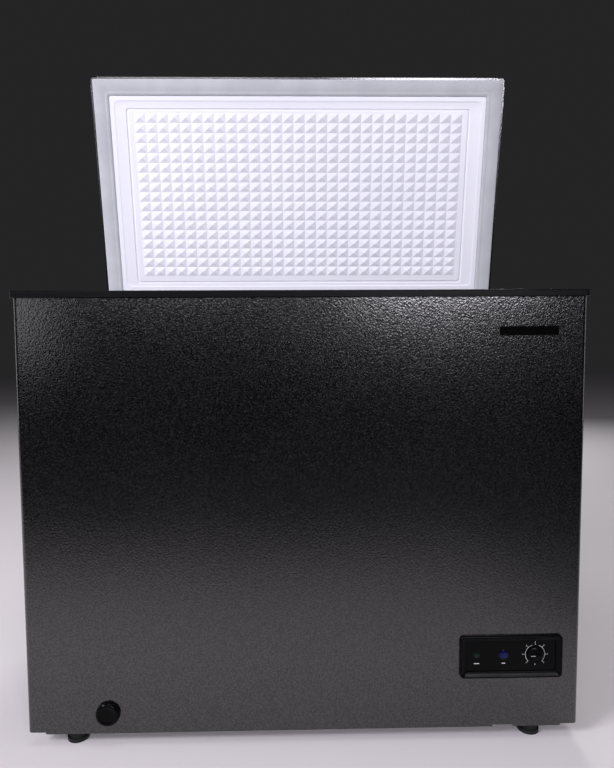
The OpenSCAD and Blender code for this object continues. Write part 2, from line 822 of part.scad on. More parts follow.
module thermostat_knob() color([0.04, 0.04, 0.045]) placed()
    facing_front(knob_x, fascia_y - fit_gap, control_mid_z)
        difference() {
            union() {
                cylinder(r = knob_r, h = knob_skirt_h);
                cylinder(r = knob_r - knob_step, h = knob_skirt_h + 1);
                block([knob_step + 1 - knob_r, -knob_grip_t / 2, 0],
                    [knob_r - knob_step - 1, knob_grip_t / 2, knob_h]);
            }
            translate([0, 0, -1]) cylinder(r = shaft_r, h = knob_bore_d + 1);
        }

module thermostat_shaft() color([0.72, 0.62, 0.35]) placed()
    facing_front(knob_x, shaft_back_y, control_mid_z) 
        cylinder(r = shaft_r, h = shaft_back_y - fascia_y + fit_gap + knob_bore_d);

module thermostat_body() color([0.80, 0.80, 0.78]) placed()
    difference() {
        block([knob_x - thermostat_x, thermostat_y, control_mid_z - thermostat_z],
            [knob_x + thermostat_x, thermostat_back_y, control_mid_z + thermostat_z]);
        facing_front(knob_x, shaft_back_y + 1, control_mid_z)
            cylinder(r = shaft_r + pin_clear, h = control_box_d);
    }

// The box behind the fascia, open to the front, around the bezel's collar depth
module control_box() color([0.08, 0.08, 0.085]) placed() facing_front(control_x, control_box_d, control_z)
    difference() {
        rounded_plate(fascia_w + 2 * collar_t - 1, fascia_h + 2 * collar_t - 1, control_box_d - collar_d, 3);
        translate([0, 0, box_t]) rounded_plate(fascia_w - 1, fascia_h - 1, control_box_d, 2);
        translate([knob_x - control_x, 0, -1]) cylinder(r = sensor_r + channel_gap, h = box_t + 2);
    }

// The bulb tube bends up from the back of the control box to the foam beside the tank
module sensing_tube() color([0.72, 0.42, 0.26]) placed()
    pipe([[knob_x, thermostat_back_y, control_z], [knob_x, sensor_y, control_z],
        [knob_x, sensor_y, bay_z + sensor_up]], sensor_r, 5 * sensor_r);

module badge_plate() color([0.03, 0.03, 0.035]) placed()
    facing_front(badge_x, 0, badge_z) soft_plate(badge_w, badge_h, badge_t, 2, 0.8);

// ---------------------------------------------------------------- drain

module drain_cap() color([0.04, 0.04, 0.045]) placed() facing_front(-drain_x, 0, drain_z) {
    intersection() {
        translate([0, 0, seal_gap]) union() {
            cylinder(r = cap_r, h = cap_proud / 3);
            translate([0, 0, cap_proud / 3]) dome(cap_r, 0.75 * cap_proud);
        }
        cylinder(r = cap_r, h = cap_proud);
    }
    translate([0, 0, -cap_r]) cylinder(r = stem_r, h = cap_r + 1);
}

module drain_tube() color([0.85, 0.85, 0.85]) placed()
    difference() {
        pipe(drain_path, drain_r, drain_bend);
        pipe([drain_path[0] + [0, 0, 1], drain_path[1], drain_path[2] - [0, 1, 0]], drain_r - drain_t,
            drain_bend);
    }

module tank_stopper() color([0.10, 0.10, 0.11]) placed() translate([-drain_x, drain_y, tank_floor]) {
    translate([0, 0, seal_gap]) cylinder(r = stopper_r, h = stopper_t);
    translate([0, 0, seal_gap + stopper_t]) dome(stopper_r, stopper_t);
    translate([0, 0, -stopper_depth]) cylinder(r = stem_r, h = stopper_depth + 1);
    translate([0, 0, seal_gap + stopper_t]) cylinder(r = stopper_knob_r, h = stopper_knob_h);
}

// ---------------------------------------------------------------- machine bay

module compressor() color([0.05, 0.05, 0.05]) placed()
    difference() {
        union() {
            translate([pot_x, pot_y, pot_z + pot_cap_h]) cylinder(r = pot_r, h = pot_h);
            translate([pot_x, pot_y, pot_z + pot_cap_h + pot_h]) dome(pot_r, pot_cap_h);
            translate([pot_x, pot_y, pot_z + pot_cap_h]) mirror([0, 0, 1]) dome(pot_r, pot_cap_h);
            translate([pot_x, pot_y, pot_z + pot_cap_h + pot_h / 2])
                cylinder(r = pot_r + pot_seam, h = pot_seam_h);
            for (p = [[evap_x, evap_r], [discharge_x, cond_r]])
                translate([p[0], stub_y, pot_z + pot_h]) cylinder(r = p[1] + 1, h = pot_top - pot_z - pot_h);
            translate([pot_x, pot_y, plate_z])
                rounded_plate(2 * mount_x + 3 * mount_r, 2 * mount_y + 3 * mount_r, plate_t, mount_r);
        }
        for (p = mount_places)
            translate([p[0], p[1], plate_z - 1]) cylinder(r = neck_r + hole_clear, h = plate_t + 2);
    }

// Rubber mounts: a lower disc, a neck through the compressor's plate and an upper disc
module compressor_mounts() color([0.10, 0.10, 0.10]) placed()
    for (p = mount_places)
        translate([p[0], p[1], tray_z])
            difference() {
                union() {
                    cylinder(r = mount_r, h = mount_h);
                    cylinder(r = neck_r, h = mount_h + plate_t + 1);
                    translate([0, 0, mount_h + plate_t]) cylinder(r = mount_r, h = mount_head_h);
                }
                translate([0, 0, -1]) cylinder(r = compressor_stud_r + hole_clear, h = 3 * mount_h);
            }

module compressor_studs() color([0.70, 0.70, 0.66]) placed()
    for (p = mount_places)
        translate([p[0], p[1], tray_z]) {
            cylinder(r = compressor_stud_r, h = mount_h + plate_t + mount_head_h + washer_t + 2 * nut_h);
            translate([0, 0, mount_h + plate_t + mount_head_h]) cylinder(r = mount_r - 2, h = washer_t);
            translate([0, 0, mount_h + plate_t + mount_head_h + washer_t / 2])
                cylinder(r = 2 * compressor_stud_r, h = nut_h + washer_t / 2, $fn = 6);
        }

module compressor_tray() color([0.62, 0.62, 0.64]) placed()
    difference() {
        intersection() {
            block([bay_x, sheet_t, base_z], [bay_right, body_d - sheet_t, tray_z]);
            inside_wrap(tray_z);
        }
        foot_holes();
    }

module relay_cover() color([0.07, 0.07, 0.07]) placed()
    difference() {
        translate([pot_x, pot_y - pot_r - relay_out, pot_z + pot_cap_h + relay_up])
            rounded_plate(relay_w, relay_d, relay_h, relay_r);
        translate([pot_x, pot_y, pot_z]) cylinder(r = pot_r + relay_clear, h = 2 * pot_h);
    }

module filter_drier() color([0.72, 0.42, 0.26]) placed() translate([drier_x, drier_y, drier_z]) {
    cylinder(r = drier_r, h = drier_h);
    translate([0, 0, -drier_stub]) cylinder(r = cond_r + 1, h = drier_h + 2 * drier_stub);
}

module suction_line() color([0.72, 0.42, 0.26]) placed()
    pipe([[evap_x, stub_y, pot_top], [evap_x, stub_y, suction_bay_z], [evap_x, evap_y, suction_bay_z],
        [evap_x, evap_y, evap_end_z]], evap_r, line_bend);

module discharge_line() color([0.72, 0.42, 0.26]) placed()
    pipe([[discharge_x, stub_y, pot_top], [discharge_x, stub_y, discharge_bay_z],
        [discharge_x, discharge_y, discharge_bay_z], [discharge_x, discharge_y, discharge_z],
        [cond_x, discharge_y, discharge_z], [cond_x, discharge_y, cond_start_z]], cond_r, line_bend);

// The thin tube leaves the drier, loops once in the bay and goes up into the foam
module capillary_tube() color([0.72, 0.42, 0.26]) placed()
    pipe([[drier_x, drier_y, drier_top], [drier_x, drier_y, loop_top], [drier_x, loop_y, loop_top],
        [drier_x, loop_y, loop_low], [drier_x, capillary_y, loop_low], [drier_x, capillary_y, bay_z]],
        capillary_r, loop_bend);

module evaporator_tube() color([0.80, 0.80, 0.80]) placed()
    pipe(concat([[evap_x, evap_y, evap_z(0)]], [for (i = [0 : evap_turns - 1]) each turn(i)],
        [[evap_x, evap_y, evap_end_z]]), evap_r, evap_bend);

// One turn round the tank, from the back, ending above the start of the next turn
function turn(i) =
    let (x = tank_w / 2 + evap_off, front = front_wall - evap_off, z = evap_z(i),
        corners = [[x, evap_y, z], [x, front, z], [-x, front, z], [-x, evap_y, z], [evap_x, evap_y, z]])
    i == evap_turns - 1 ? corners : concat(corners, [[evap_x, evap_y, evap_z(i + 1)]]);

module condenser_tube() color([0.72, 0.42, 0.26]) placed()
    pipe(concat([[cond_x, cond_y, cond_start_z]], [for (i = [0 : cond_runs - 1]) each run(i)]), cond_r,
        cond_bend);

// One run along a side, the front and the other side, in alternate directions
function run(i) =
    let (s = i % 2 == 0 ? 1 : -1, z = cond_z(i))
    [for (p = [[s, cond_y], [s, cond_off], [-s, cond_off], [-s, cond_y]]) [p[0] * cond_x, p[1], z]];

module wiring_harness() color([0.12, 0.12, 0.12]) placed() {
    pipe(
        [
            [power_x, control_box_d, control_z],
            [power_x, harness_y, control_z],
            [power_x, harness_y, relay_mid_z],
            [pot_x, harness_y, relay_mid_z],
            [pot_x, pot_y - pot_r - relay_front, relay_mid_z]
        ],
        harness_r, harness_bend);
}

module rear_grille() color([0.07, 0.07, 0.075]) placed()
    difference() {
        block([bay_x - grille_lap, body_d, base_z + 1], [bay_right, body_d + grille_t, bay_z + grille_lap]);
        for (i = [0 : grille_slots - 1])
            translate([bay_mid, body_d - 1, grille_low_z + i * grille_pitch]) rotate([-90, 0, 0])
                rounded_plate(grille_slot_w, grille_slot_h, grille_t + 2, 0.48 * grille_slot_h);
        translate([gland_x, body_d - 1, gland_z]) rotate([-90, 0, 0])
            cylinder(r = gland_r, h = grille_t + 2);
        for (p = grille_screw_places)
            translate([p[0], body_d - 1, p[1]]) rotate([-90, 0, 0])
                cylinder(r = screw_r + hole_clear, h = grille_t + 2);
    }

// A pan-head screw whose head sits on z = 0 and whose shank points down
module screw(length) {
    translate([0, 0, -length]) cylinder(r = screw_r, h = length + 0.5);
    cylinder(r = screw_head_r, h = screw_head_h / 2);
    translate([0, 0, screw_head_h / 2]) dome(screw_head_r, screw_head_h / 2);
}

module grille_screws() color([0.60, 0.60, 0.62]) placed()
    for (p = grille_screw_places)
        translate([p[0], body_d + grille_t, p[1]]) rotate([-90, 0, 0]) screw(grille_screw_len);

// Gland for the mains cord, through the grille, with its nut inside
module cord_gland() color([0.05, 0.05, 0.05]) placed()
    translate([gland_x, body_d + grille_t, gland_z]) rotate([-90, 0, 0])
        difference() {
            union() {
                cylinder(r = gland_r + 3, h = gland_head_h);
                translate([0, 0, -grille_t - gland_inside])
                    cylinder(r = gland_r, h = grille_t + gland_inside + 2);
                translate([0, 0, -grille_t - gland_inside / 2])
                    cylinder(r = gland_r + 4, h = gland_inside / 2, $fn = 6);
            }
            translate([0, 0, -grille_t - gland_inside - 1])
                cylinder(r = gland_bore_r, h = grille_t + gland_inside + gland_head_h + 2);
        }

module grille_holes(depth)
    for (p = grille_screw_places)
        translate([p[0], body_d + 1, p[1]]) rotate([90, 0, 0])
            cylinder(r = screw_r + hole_clear, h = depth + 1);

// ---------------------------------------------------------------- hinges

// Clearance holes for the screws of both hinges in the cabinet's back
module hinge_holes(r, depth)
    for (s = [-1, 1], x = [-hinge_screw_x, hinge_screw_x], z = base_screw_z)
        translate([s * hinge_x + x, body_d + 1, z]) rotate([90, 0, 0]) cylinder(r = r, h = depth + 1);

module pivot_bar(x, r, length)
    translate([x - length / 2, pivot_y, pivot_z]) rotate([0, 90, 0]) cylinder(r = r, h = length);

// A flat shape drawn as (y, z) becomes a plate across X
module plate_across_x(x, thickness) translate([x - thickness / 2, 0, 0]) rotate([90, 0, 90])
    linear_extrude(thickness) children();

module hinge_base(side) color([0.10, 0.10, 0.11]) placed() {
    x = side * hinge_x;
    difference() {
        union() {
            block([x - hinge_w / 2, body_d, hinge_base_top - hinge_base_h],
                [x + hinge_w / 2, body_d + hinge_t, hinge_base_top]);
            for (e = [-1, 1])
                plate_across_x(x + e * (ear_x + ear_t / 2), ear_t) {
                    polygon([[body_d, hinge_base_top - 0.6 * hinge_base_h], [body_d, hinge_base_top],
                        [pivot_y - ear_r, hinge_base_top], [pivot_y - ear_r, pivot_z],
                        [pivot_y + ear_r, pivot_z], [pivot_y + ear_r, hinge_base_top - 10]]);
                    translate([pivot_y, pivot_z]) circle(r = ear_r);
                }
        }
        pivot_bar(x, pin_r, hinge_w);
        for (sx = [-hinge_screw_x, hinge_screw_x], z = base_screw_z)
            translate([x + sx, body_d - 1, z]) rotate([-90, 0, 0])
                cylinder(r = screw_r + hole_clear, h = hinge_t + 2);
    }
}

module hinge_leaf(side) color([0.10, 0.10, 0.11]) on_lid() {
    x = side * hinge_x;
    back = body_d + rim_over;
    difference() {
        union() {
            block([x - hinge_w / 2, back, lid_z + leaf_up],
                [x + hinge_w / 2, back + hinge_t, lid_z + leaf_up + leaf_h]);
            plate_across_x(x, knuckle_w)
                polygon([
                    [back, lid_z + leaf_up + 6], [back, lid_z + leaf_up - 1], [pivot_y - knuckle_r, pivot_z],
                    [pivot_y, pivot_z + knuckle_r - 0.5], [back + hinge_t, lid_z + leaf_up + 6]]);
            pivot_bar(x, knuckle_r, knuckle_w);
        }
        pivot_bar(x, pin_r + pin_clear, hinge_w);
        for (sx = [-hinge_screw_x, hinge_screw_x], z = leaf_screw_z)
            translate([x + sx, back - 1, z]) rotate([-90, 0, 0])
                cylinder(r = screw_r + hole_clear, h = hinge_t + 2);
    }
}

// Each pin has a head outside one ear and is spread a little outside the other
module hinge_pins() color([0.75, 0.75, 0.77]) placed()
    for (s = [-1, 1]) {
        pivot_bar(s * hinge_x, pin_r, 2 * (ear_x + ear_t) + 1);
        pivot_bar(s * (hinge_x + ear_x + ear_t + 0.6 * pin_head_t), pin_r + pin_head_t, pin_head_t);
    }

// Close-wound coils on the pins between the knuckles and the ears, each with a leg down to the plate
module hinge_springs() color([0.55, 0.56, 0.58]) placed()
    for (s = [-1, 1], e = [-1, 1]) translate([s * hinge_x + e * spring_mid, 0, 0]) {
        for (i = [0 : spring_coils - 1])
            translate([(i - (spring_coils - 1) / 2) * 1.9 * spring_wire_r, pivot_y, pivot_z])
                rotate([0, 90, 0]) rotate_extrude() translate([spring_mean_r, 0]) circle(r = spring_wire_r);
        pipe([[0, pivot_y + spring_mean_r, pivot_z], [0, pivot_y + spring_mean_r, hinge_base_top - 8],
            [0, body_d + hinge_t, hinge_base_top - 8]], spring_wire_r, 4);
    }

module hinge_screws_cabinet() color([0.62, 0.62, 0.64]) placed()
    for (s = [-1, 1], x = [-hinge_screw_x, hinge_screw_x], z = base_screw_z)
        translate([s * hinge_x + x, body_d + hinge_t, z]) rotate([-90, 0, 0]) screw(screw_len);

module hinge_screws_lid() color([0.62, 0.62, 0.64]) on_lid()
    for (s = [-1, 1], x = [-hinge_screw_x, hinge_screw_x], z = leaf_screw_z)
        translate([s * hinge_x + x, body_d + rim_over + hinge_t, z]) rotate([-90, 0, 0]) screw(screw_len);

// ---------------------------------------------------------------- lid

module lid_screw_holes(length)
    for (s = [-1, 1], x = [-hinge_screw_x, hinge_screw_x], z = leaf_screw_z)
        translate([s * hinge_x + x, body_d + rim_over + 1, z]) rotate([90, 0, 0])
            cylinder(r = screw_r + hole_clear, h = length + 1);

module handle_block(grow, front, back)
    block([handle_rim_x - handle_w / 2 - grow, front, lid_z + handle_rim_z - grow],
        [handle_w / 2 - handle_rim_x + grow, back, lid_z + handle_h - handle_rim_z + grow]);

module lid_shell() color([0.20, 0.20, 0.21]) on_lid()
    difference() {
        translate([0, lid_y, lid_z]) soft_plate(lid_w, lid_d, lid_h, lid_r, lid_edge_r);
        translate([0, lid_y, lid_z + sheet_t])
            soft_plate(lid_w - 2 * sheet_t, lid_d - 2 * sheet_t, lid_h - 2 * sheet_t, lid_r - sheet_t,
                lid_edge_r - sheet_t);
        translate([0, lid_y, lid_z - 1])
            rounded_plate(lid_w - 2 * lid_lip, lid_d - 2 * lid_lip, sheet_t + 2, gasket_corner_r);
        handle_block(0, -rim_over - 1, 0);
        lid_screw_holes(2 * sheet_t);
    }

module lid_foam() color([0.95, 0.88, 0.62]) on_lid()
    difference() {
        union() {
            translate([0, lid_y, liner_z + liner_t])
                soft_plate(lid_w - 2 * sheet_t, lid_d - 2 * sheet_t, lid_top - sheet_t - liner_z - liner_t,
                    lid_r - sheet_t, lid_edge_r - sheet_t);
            liner_form(liner_t, liner_z + liner_t + 0.5);
        }
        handle_block(0, -rim_over - 1, pocket_d - rim_over + handle_t);
        lid_screw_holes(screw_len + 2);
    }

// The liner's raised form in two steps, up to z = top; its faces move inwards by inset
module liner_form(inset, top) {
    shoulder_z = face_z + shoulder_drop + inset;
    translate([0, raised_y, shoulder_z])
        rounded_plate(raised_w - 2 * inset, raised_d - 2 * inset, top - shoulder_z, raised_r - inset);
    translate([0, raised_y, face_z + inset])
        rounded_plate(raised_w - 2 * shoulder_w - 2 * inset, raised_d - 2 * shoulder_w - 2 * inset,
            top - face_z - inset, shoulder_r - inset);
}

module lid_liner() color([0.93, 0.93, 0.97]) on_lid() {
    difference() {
        union() {
            translate([0, lid_y, liner_z]) rounded_plate(flange_w, flange_d, liner_t, flange_r);
            liner_form(0, liner_z + liner_t / 2);
        }
        liner_form(liner_t, liner_z + liner_t + 1);
        translate([0, groove_y, face_z - 1])
            difference() {
                rounded_plate(
                    groove_span + groove_w, groove_d + groove_w, groove_h + 1, groove_r + groove_w);
                translate([0, 0, -1])
                    rounded_plate(groove_span - groove_w, groove_d - groove_w, groove_h + 3, groove_r);
            }
    }
    translate([0, field_y, face_z]) pyramid_field();
}

// Rows of square-based pyramids side by side, pointing down from z = 0
module pyramid_field() {
    nx = pyramid_columns;
    ny = pyramid_rows;
    w = field_w / nx;
    d = field_d / ny;
    corners = [for (j = [0 : ny], i = [0 : nx]) [(i - nx / 2) * w, (j - ny / 2) * d, 0]];
    tips = [
        for (j = [0 : ny - 1], i = [0 : nx - 1])
            [(i + 0.5 - nx / 2) * w, (j + 0.5 - ny / 2) * d, -pyramid_h]
    ];
    back = [for (c = corners) c + [0, 0, 0.4]];
    n = len(corners);
    m = len(tips);
    function at(i, j) = j * (nx + 1) + i;
    slopes = [for (j = [0 : ny - 1], i = [0 : nx - 1])
        let (t = n + j * nx + i, a = at(i, j), b = at(i + 1, j), c = at(i + 1, j + 1), e = at(i, j + 1))
        each [[a, b, t], [b, c, t], [c, e, t], [e, a, t]]];
    top = [for (j = [0 : ny - 1], i = [0 : nx - 1])
        [n + m + at(i, j), n + m + at(i, j + 1), n + m + at(i + 1, j + 1), n + m + at(i + 1, j)]];
    sides = concat(
        [for (i = [0 : nx - 1]) [at(i, 0), n + m + at(i, 0), n + m + at(i + 1, 0), at(i + 1, 0)]],
        [for (i = [0 : nx - 1]) [at(i + 1, ny), n + m + at(i + 1, ny), n + m + at(i, ny), at(i, ny)]],
        [for (j = [0 : ny - 1]) [at(0, j + 1), n + m + at(0, j + 1), n + m + at(0, j), at(0, j)]],
        [for (j = [0 : ny - 1]) [at(nx, j), n + m + at(nx, j), n + m + at(nx, j + 1), at(nx, j + 1)]]);
    polyhedron(points = concat(corners, tips, back), faces = concat(slopes, top, sides));
}

// The magnetic gasket between the lid's lip and the liner's raised part: a ring with soft lower edges
module lid_gasket() color([0.74, 0.74, 0.79]) on_lid()
    translate([0, lid_y, rim_top + seal_gap])
        difference() {
            translate([0, 0, gasket_h]) mirror([0, 0, 1])
                soft_plate(gasket_w, gasket_d, gasket_h, gasket_corner_r, gasket_r);
            translate([0, (gasket_bar - gasket_back_bar) / 2, 0])
                soft_opening(
                    gasket_w - 2 * gasket_bar, gasket_d - gasket_bar - gasket_back_bar, gasket_h, gasket_r);
        }

// A moulded cup in the lid's front with a border that stands out a little
module lid_handle() color([0.05, 0.05, 0.055]) on_lid()
    difference() {
        union() {
            facing_front(0, -rim_over, lid_z + handle_h / 2)
                soft_plate(handle_w, handle_h, handle_proud, 4, handle_proud / 2);
            handle_block(0, -rim_over - 0.5, pocket_d - rim_over + handle_t);
        }
        handle_block(-handle_t, -rim_over - 2 * handle_proud, pocket_d - rim_over);
    }

// Small corner pieces over the folded corners at the lid's front edge
module lid_corners() color([0.04, 0.04, 0.045]) on_lid()
    for (s = [-1, 1])
        intersection() {
            difference() {
                translate([0, lid_y, lid_z - corner_t])
                    rounded_plate(lid_w + 2 * corner_t, lid_d + 2 * corner_t, corner_h, lid_r + corner_t);
                translate([0, lid_y, lid_z]) rounded_plate(lid_w, lid_d, corner_h, lid_r);
                translate([0, lid_y, lid_z - 2 * corner_t])
                    rounded_plate(lid_w - 2 * sheet_t, lid_d - 2 * sheet_t, corner_h, lid_r - sheet_t);
            }
            translate([s * lid_w / 2, -rim_over, lid_z])
                cube([2 * corner_reach, 2 * corner_reach, 4 * corner_h], center = true);
        }

// ---------------------------------------------------------------- basket

module basket_place() placed() translate([-basket_x, basket_mid_y, 0]) children();

// The top wire with the two hangers that rest on the ledges, and the bottom wire
module basket_frame() color([0.90, 0.90, 0.92]) basket_place() {
    r = frame_wire_r;
    x = basket_w / 2 - r;
    y = basket_d / 2 - r;
    reach = tank_d / 2 + ledge_w - 1;
    wire_loop(x, y, basket_top - 3 * r + weld, r);
    wire_loop(x, y, basket_floor_z + 3 * r, r);
    for (s = [-1, 1])
        rod([s * (x - 12), -reach, basket_top - r], [s * (x - 12), reach, basket_top - r], r);
}

// A closed rectangular loop of wire with round corners
module wire_loop(x, y, z, r) {
    bend = 8;
    corners = [[x, y, z], [-x, y, z], [-x, -y, z], [x, -y, z]];
    for (i = [0 : 3]) {
        a = corners[i];
        b = corners[(i + 1) % 4];
        c = corners[(i + 2) % 4];
        u = (b - a) / norm(b - a);
        v = (c - b) / norm(c - b);
        rod(a + bend * u, b - bend * u, r);
        quarter_bend(b, u, v, r, bend);
    }
}

function wire_count(length) = max(3, ceil(length / mesh_pitch) + 1);

// Places of n wires along an edge, from mesh_inset after its start to mesh_inset before its end
function wire_places(length) =
    let (n = wire_count(length))
    [for (i = [0 : n - 1]) mesh_inset + (length - 2 * mesh_inset) * i / (n - 1)];

// A welded panel: wires along v in its plane, and behind them, towards n, wires along u
module wire_panel(origin, u, v, n, r, trim = 0) {
    along_u = u / norm(u);
    along_v = v / norm(v);
    for (t = wire_places(norm(u)))
        rod(origin + t * along_u, origin + t * along_u + v, r);
    for (t = wire_places(norm(v)))
        rod(origin + t * along_v + trim * along_u + (2 * r - weld) * n,
            origin + t * along_v + u - trim * along_u + (2 * r - weld) * n, r);
}

module basket_floor() color([0.90, 0.90, 0.92]) basket_place()
    wire_panel([-floor_x, -floor_y, basket_floor_z], [2 * floor_x, 0, 0], [0, 2 * floor_y, 0], [0, 0, 1],
        mesh_wire_r);

module basket_end(side)
    wire_panel([side * panel_x, -floor_y, panel_low], [0, 2 * floor_y, 0], [0, 0, panel_high - panel_low],
        [-side, 0, 0], mesh_wire_r, end_trim);

module basket_side(side)
    wire_panel([-floor_x, side * panel_y, panel_low], [2 * floor_x, 0, 0], [0, 0, panel_high - panel_low],
        [0, -side, 0], mesh_wire_r);

module basket_front() color([0.90, 0.90, 0.92]) basket_place() basket_side(-1);

module basket_back() color([0.90, 0.90, 0.92]) basket_place() basket_side(1);

module basket_left() color([0.90, 0.90, 0.92]) basket_place() basket_end(-1);

module basket_right() color([0.90, 0.90, 0.92]) basket_place() basket_end(1);

outer_wrap();
back_panel();
bottom_pan();
front_rail();
rear_rail();
foot(-1, foot_front_y);  // foot_front_left
foot(1, foot_front_y);  // foot_front_right
foot(-1, foot_rear_y);  // foot_rear_left
foot(1, foot_rear_y);  // foot_rear_right
cabinet_foam();
inner_tank();
top_frame();
control_bezel();
control_fascia();
power_lamp();
run_lamp();
thermostat_knob();
thermostat_shaft();
thermostat_body();
sensing_tube();
control_box();
badge_plate();
drain_cap();
drain_tube();
tank_stopper();
compressor();
compressor_tray();
compressor_mounts();
compressor_studs();
relay_cover();
filter_drier();
suction_line();
discharge_line();
capillary_tube();
evaporator_tube();
condenser_tube();
wiring_harness();
rear_grille();
grille_screws();
cord_gland();
hinge_base(-1);  // hinge_base_left
hinge_base(1);  // hinge_base_right
hinge_leaf(-1);  // hinge_leaf_left
hinge_leaf(1);  // hinge_leaf_right
hinge_pins();
hinge_springs();
hinge_screws_cabinet();
hinge_screws_lid();
lid_shell();
lid_foam();
lid_liner();
lid_gasket();
lid_handle();
lid_corners();
basket_frame();
basket_floor();
basket_front();
basket_back();
basket_left();
basket_right();
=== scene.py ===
# %% [markdown]
# # A chest freezer with its lid open
#
# The freezer stands on a pale floor with its lid leaning back on two rear hinges.
# Its construction comes from a CAD model, which is loaded first: sheet metal, tank, frame, hinges,
# compressor bay and wire basket. This lesson gives every one of those pieces a finish, and models the
# parts whose look depends on soft, rounded or printed detail: the lid's embossed liner, the seal round
# it, the thermostat knob with its dial, the bezel, the lamp marks and the drain cap.
# Everything is in metres, +Z is up and the front looks towards -Y.

# %% Load the frame
import json
from math import cos, pi, radians, sin

import bmesh
import bpy
from mathutils import Matrix, Vector


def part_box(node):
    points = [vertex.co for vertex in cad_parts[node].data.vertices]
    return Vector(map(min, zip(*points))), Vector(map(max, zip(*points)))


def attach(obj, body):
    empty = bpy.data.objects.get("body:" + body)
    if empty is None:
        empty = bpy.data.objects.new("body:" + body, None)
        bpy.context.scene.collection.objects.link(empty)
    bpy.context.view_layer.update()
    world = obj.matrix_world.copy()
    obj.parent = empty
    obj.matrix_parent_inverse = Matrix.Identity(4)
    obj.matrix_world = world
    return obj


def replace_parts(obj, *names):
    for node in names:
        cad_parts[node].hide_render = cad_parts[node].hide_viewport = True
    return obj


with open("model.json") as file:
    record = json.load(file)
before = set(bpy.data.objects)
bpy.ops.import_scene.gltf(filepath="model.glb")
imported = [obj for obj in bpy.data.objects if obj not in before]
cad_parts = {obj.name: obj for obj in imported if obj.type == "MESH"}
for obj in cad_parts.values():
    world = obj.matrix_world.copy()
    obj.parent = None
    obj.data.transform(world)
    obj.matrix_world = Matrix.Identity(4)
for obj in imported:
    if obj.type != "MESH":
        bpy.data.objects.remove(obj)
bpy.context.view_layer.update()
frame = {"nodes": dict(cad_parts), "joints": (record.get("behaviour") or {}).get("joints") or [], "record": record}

MM = 0.001
nodes = frame["nodes"]

# %% [markdown]
# ## Places to measure from
#
# New pieces are placed from the CAD model. The front of the sheet metal, the fascia, the knob and the
# drain cap are all read from the boxes of their CAD pieces. The lid is modelled open, so a piece on it
# is first built as if the lid were closed and is then turned about the hinge pins by the opening angle,
# which the hinge's own joint gives.

# %% Reference points
FRONT_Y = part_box("outer_wrap")[0].y

hinge = next(joint for joint in frame["joints"] if joint["name"] == "lid_hinge")
pins = Vector(hinge["pos_m"])
opening = radians(hinge["range_deg"][1])
open_lid = Matrix.Translation(pins) @ Matrix.Rotation(-opening, 4, "X") @ Matrix.Translation(-pins)
close_lid = open_lid.inverted()


def closed_box(node):
    """Lowest and highest corner of a lid piece when the lid is closed."""
    places = [close_lid @ vertex.co for vertex in nodes[node].data.vertices]
    low = Vector([min(place[i] for place in places) for i in range(3)])
    high = Vector([max(place[i] for place in places) for i in range(3)])
    print(f"{node}, closed:", tuple(round(v / MM, 1) for v in high - low), "mm")
    return low, high


lid_low, lid_high = closed_box("lid_shell")
liner_low = closed_box("lid_liner")[0]
seal_low, seal_high = closed_box("lid_gasket")

# %% [markdown]
# ## Camera
#
# The camera stands a little left of the middle, a hand below the rim and about a metre from the front.
# It looks slightly down and to the right, with a slightly wide lens, so that the front fills the picture
# and the lid behind looks smaller. A new camera looks straight down. It is rolled about its own axis
# first, then tilted up about X, and at last turned about Z.

# %% Camera
LENS_IN_WIDTHS = 0.9625
CAMERA_X, CAMERA_DISTANCE, CAMERA_Z = -13.0 * MM, 963.7 * MM, 677.9 * MM
PITCH_DOWN, TURN_RIGHT, ROLL = radians(3.88), radians(1.14), radians(0.303)

camera_data = bpy.data.cameras.new("camera")
camera_data.sensor_fit = "HORIZONTAL"
camera_data.sensor_width = 36
camera_data.lens = LENS_IN_WIDTHS * camera_data.sensor_width
camera = bpy.data.objects.new("camera", camera_data)
bpy.context.scene.collection.objects.link(camera)
camera_place = Vector((CAMERA_X, FRONT_Y - CAMERA_DISTANCE, CAMERA_Z))
aim = Matrix.Rotation(-TURN_RIGHT, 4, "Z") @ Matrix.Rotation(pi / 2 - PITCH_DOWN, 4, "X")
camera.matrix_world = Matrix.Translation(camera_place) @ aim @ Matrix.Rotation(-ROLL, 4, "Z")
bpy.context.scene.camera = camera
print("camera at", tuple(round(v, 3) for v in camera_place), "lens", round(camera_data.lens, 1), "mm")

# %% [markdown]
# ## Numbers that vary over a surface
#
# A finish is a small graph of nodes. Written out one by one, such a graph is hard to read, so the output
# of a node is wrapped in a class whose +, - and * add the Math nodes. An expression such as 1 - pebbles
# then reads like the formula that it stands for.

# %% A value
class Value:
    """A number that varies over a surface: the output of a node, used like a number."""

    def __init__(self, finish, socket):
        self.finish = finish
        self.socket = socket

    def combine(self, operation, first, second):
        """Adds a Math node for one operation on two numbers."""
        return self.finish.node("ShaderNodeMath", {"operation": operation}, {0: first, 1: second})

    def __add__(self, other):
        return self.combine("ADD", self, other)

    def __radd__(self, other):
        return self.combine("ADD", other, self)

    def __sub__(self, other):
        return self.combine("SUBTRACT", self, other)

    def __rsub__(self, other):
        return self.combine("SUBTRACT", other, self)

    def __mul__(self, other):
        return self.combine("MULTIPLY", self, other)

    def __rmul__(self, other):
        return self.combine("MULTIPLY", other, self)


print("a value knows +, - and *")

# %% [markdown]
# ## A finish
#
# Every finish is one Principled shader. What is the same all over the surface is set on the shader's own
# sockets, and what varies is fed to them. Every node of a pattern comes from one method that takes the
# node's type, its settings and what its sockets get, and what most finishes share has a short name:
# noise, cells, a blend of two colours and a spread from one range of numbers to another.

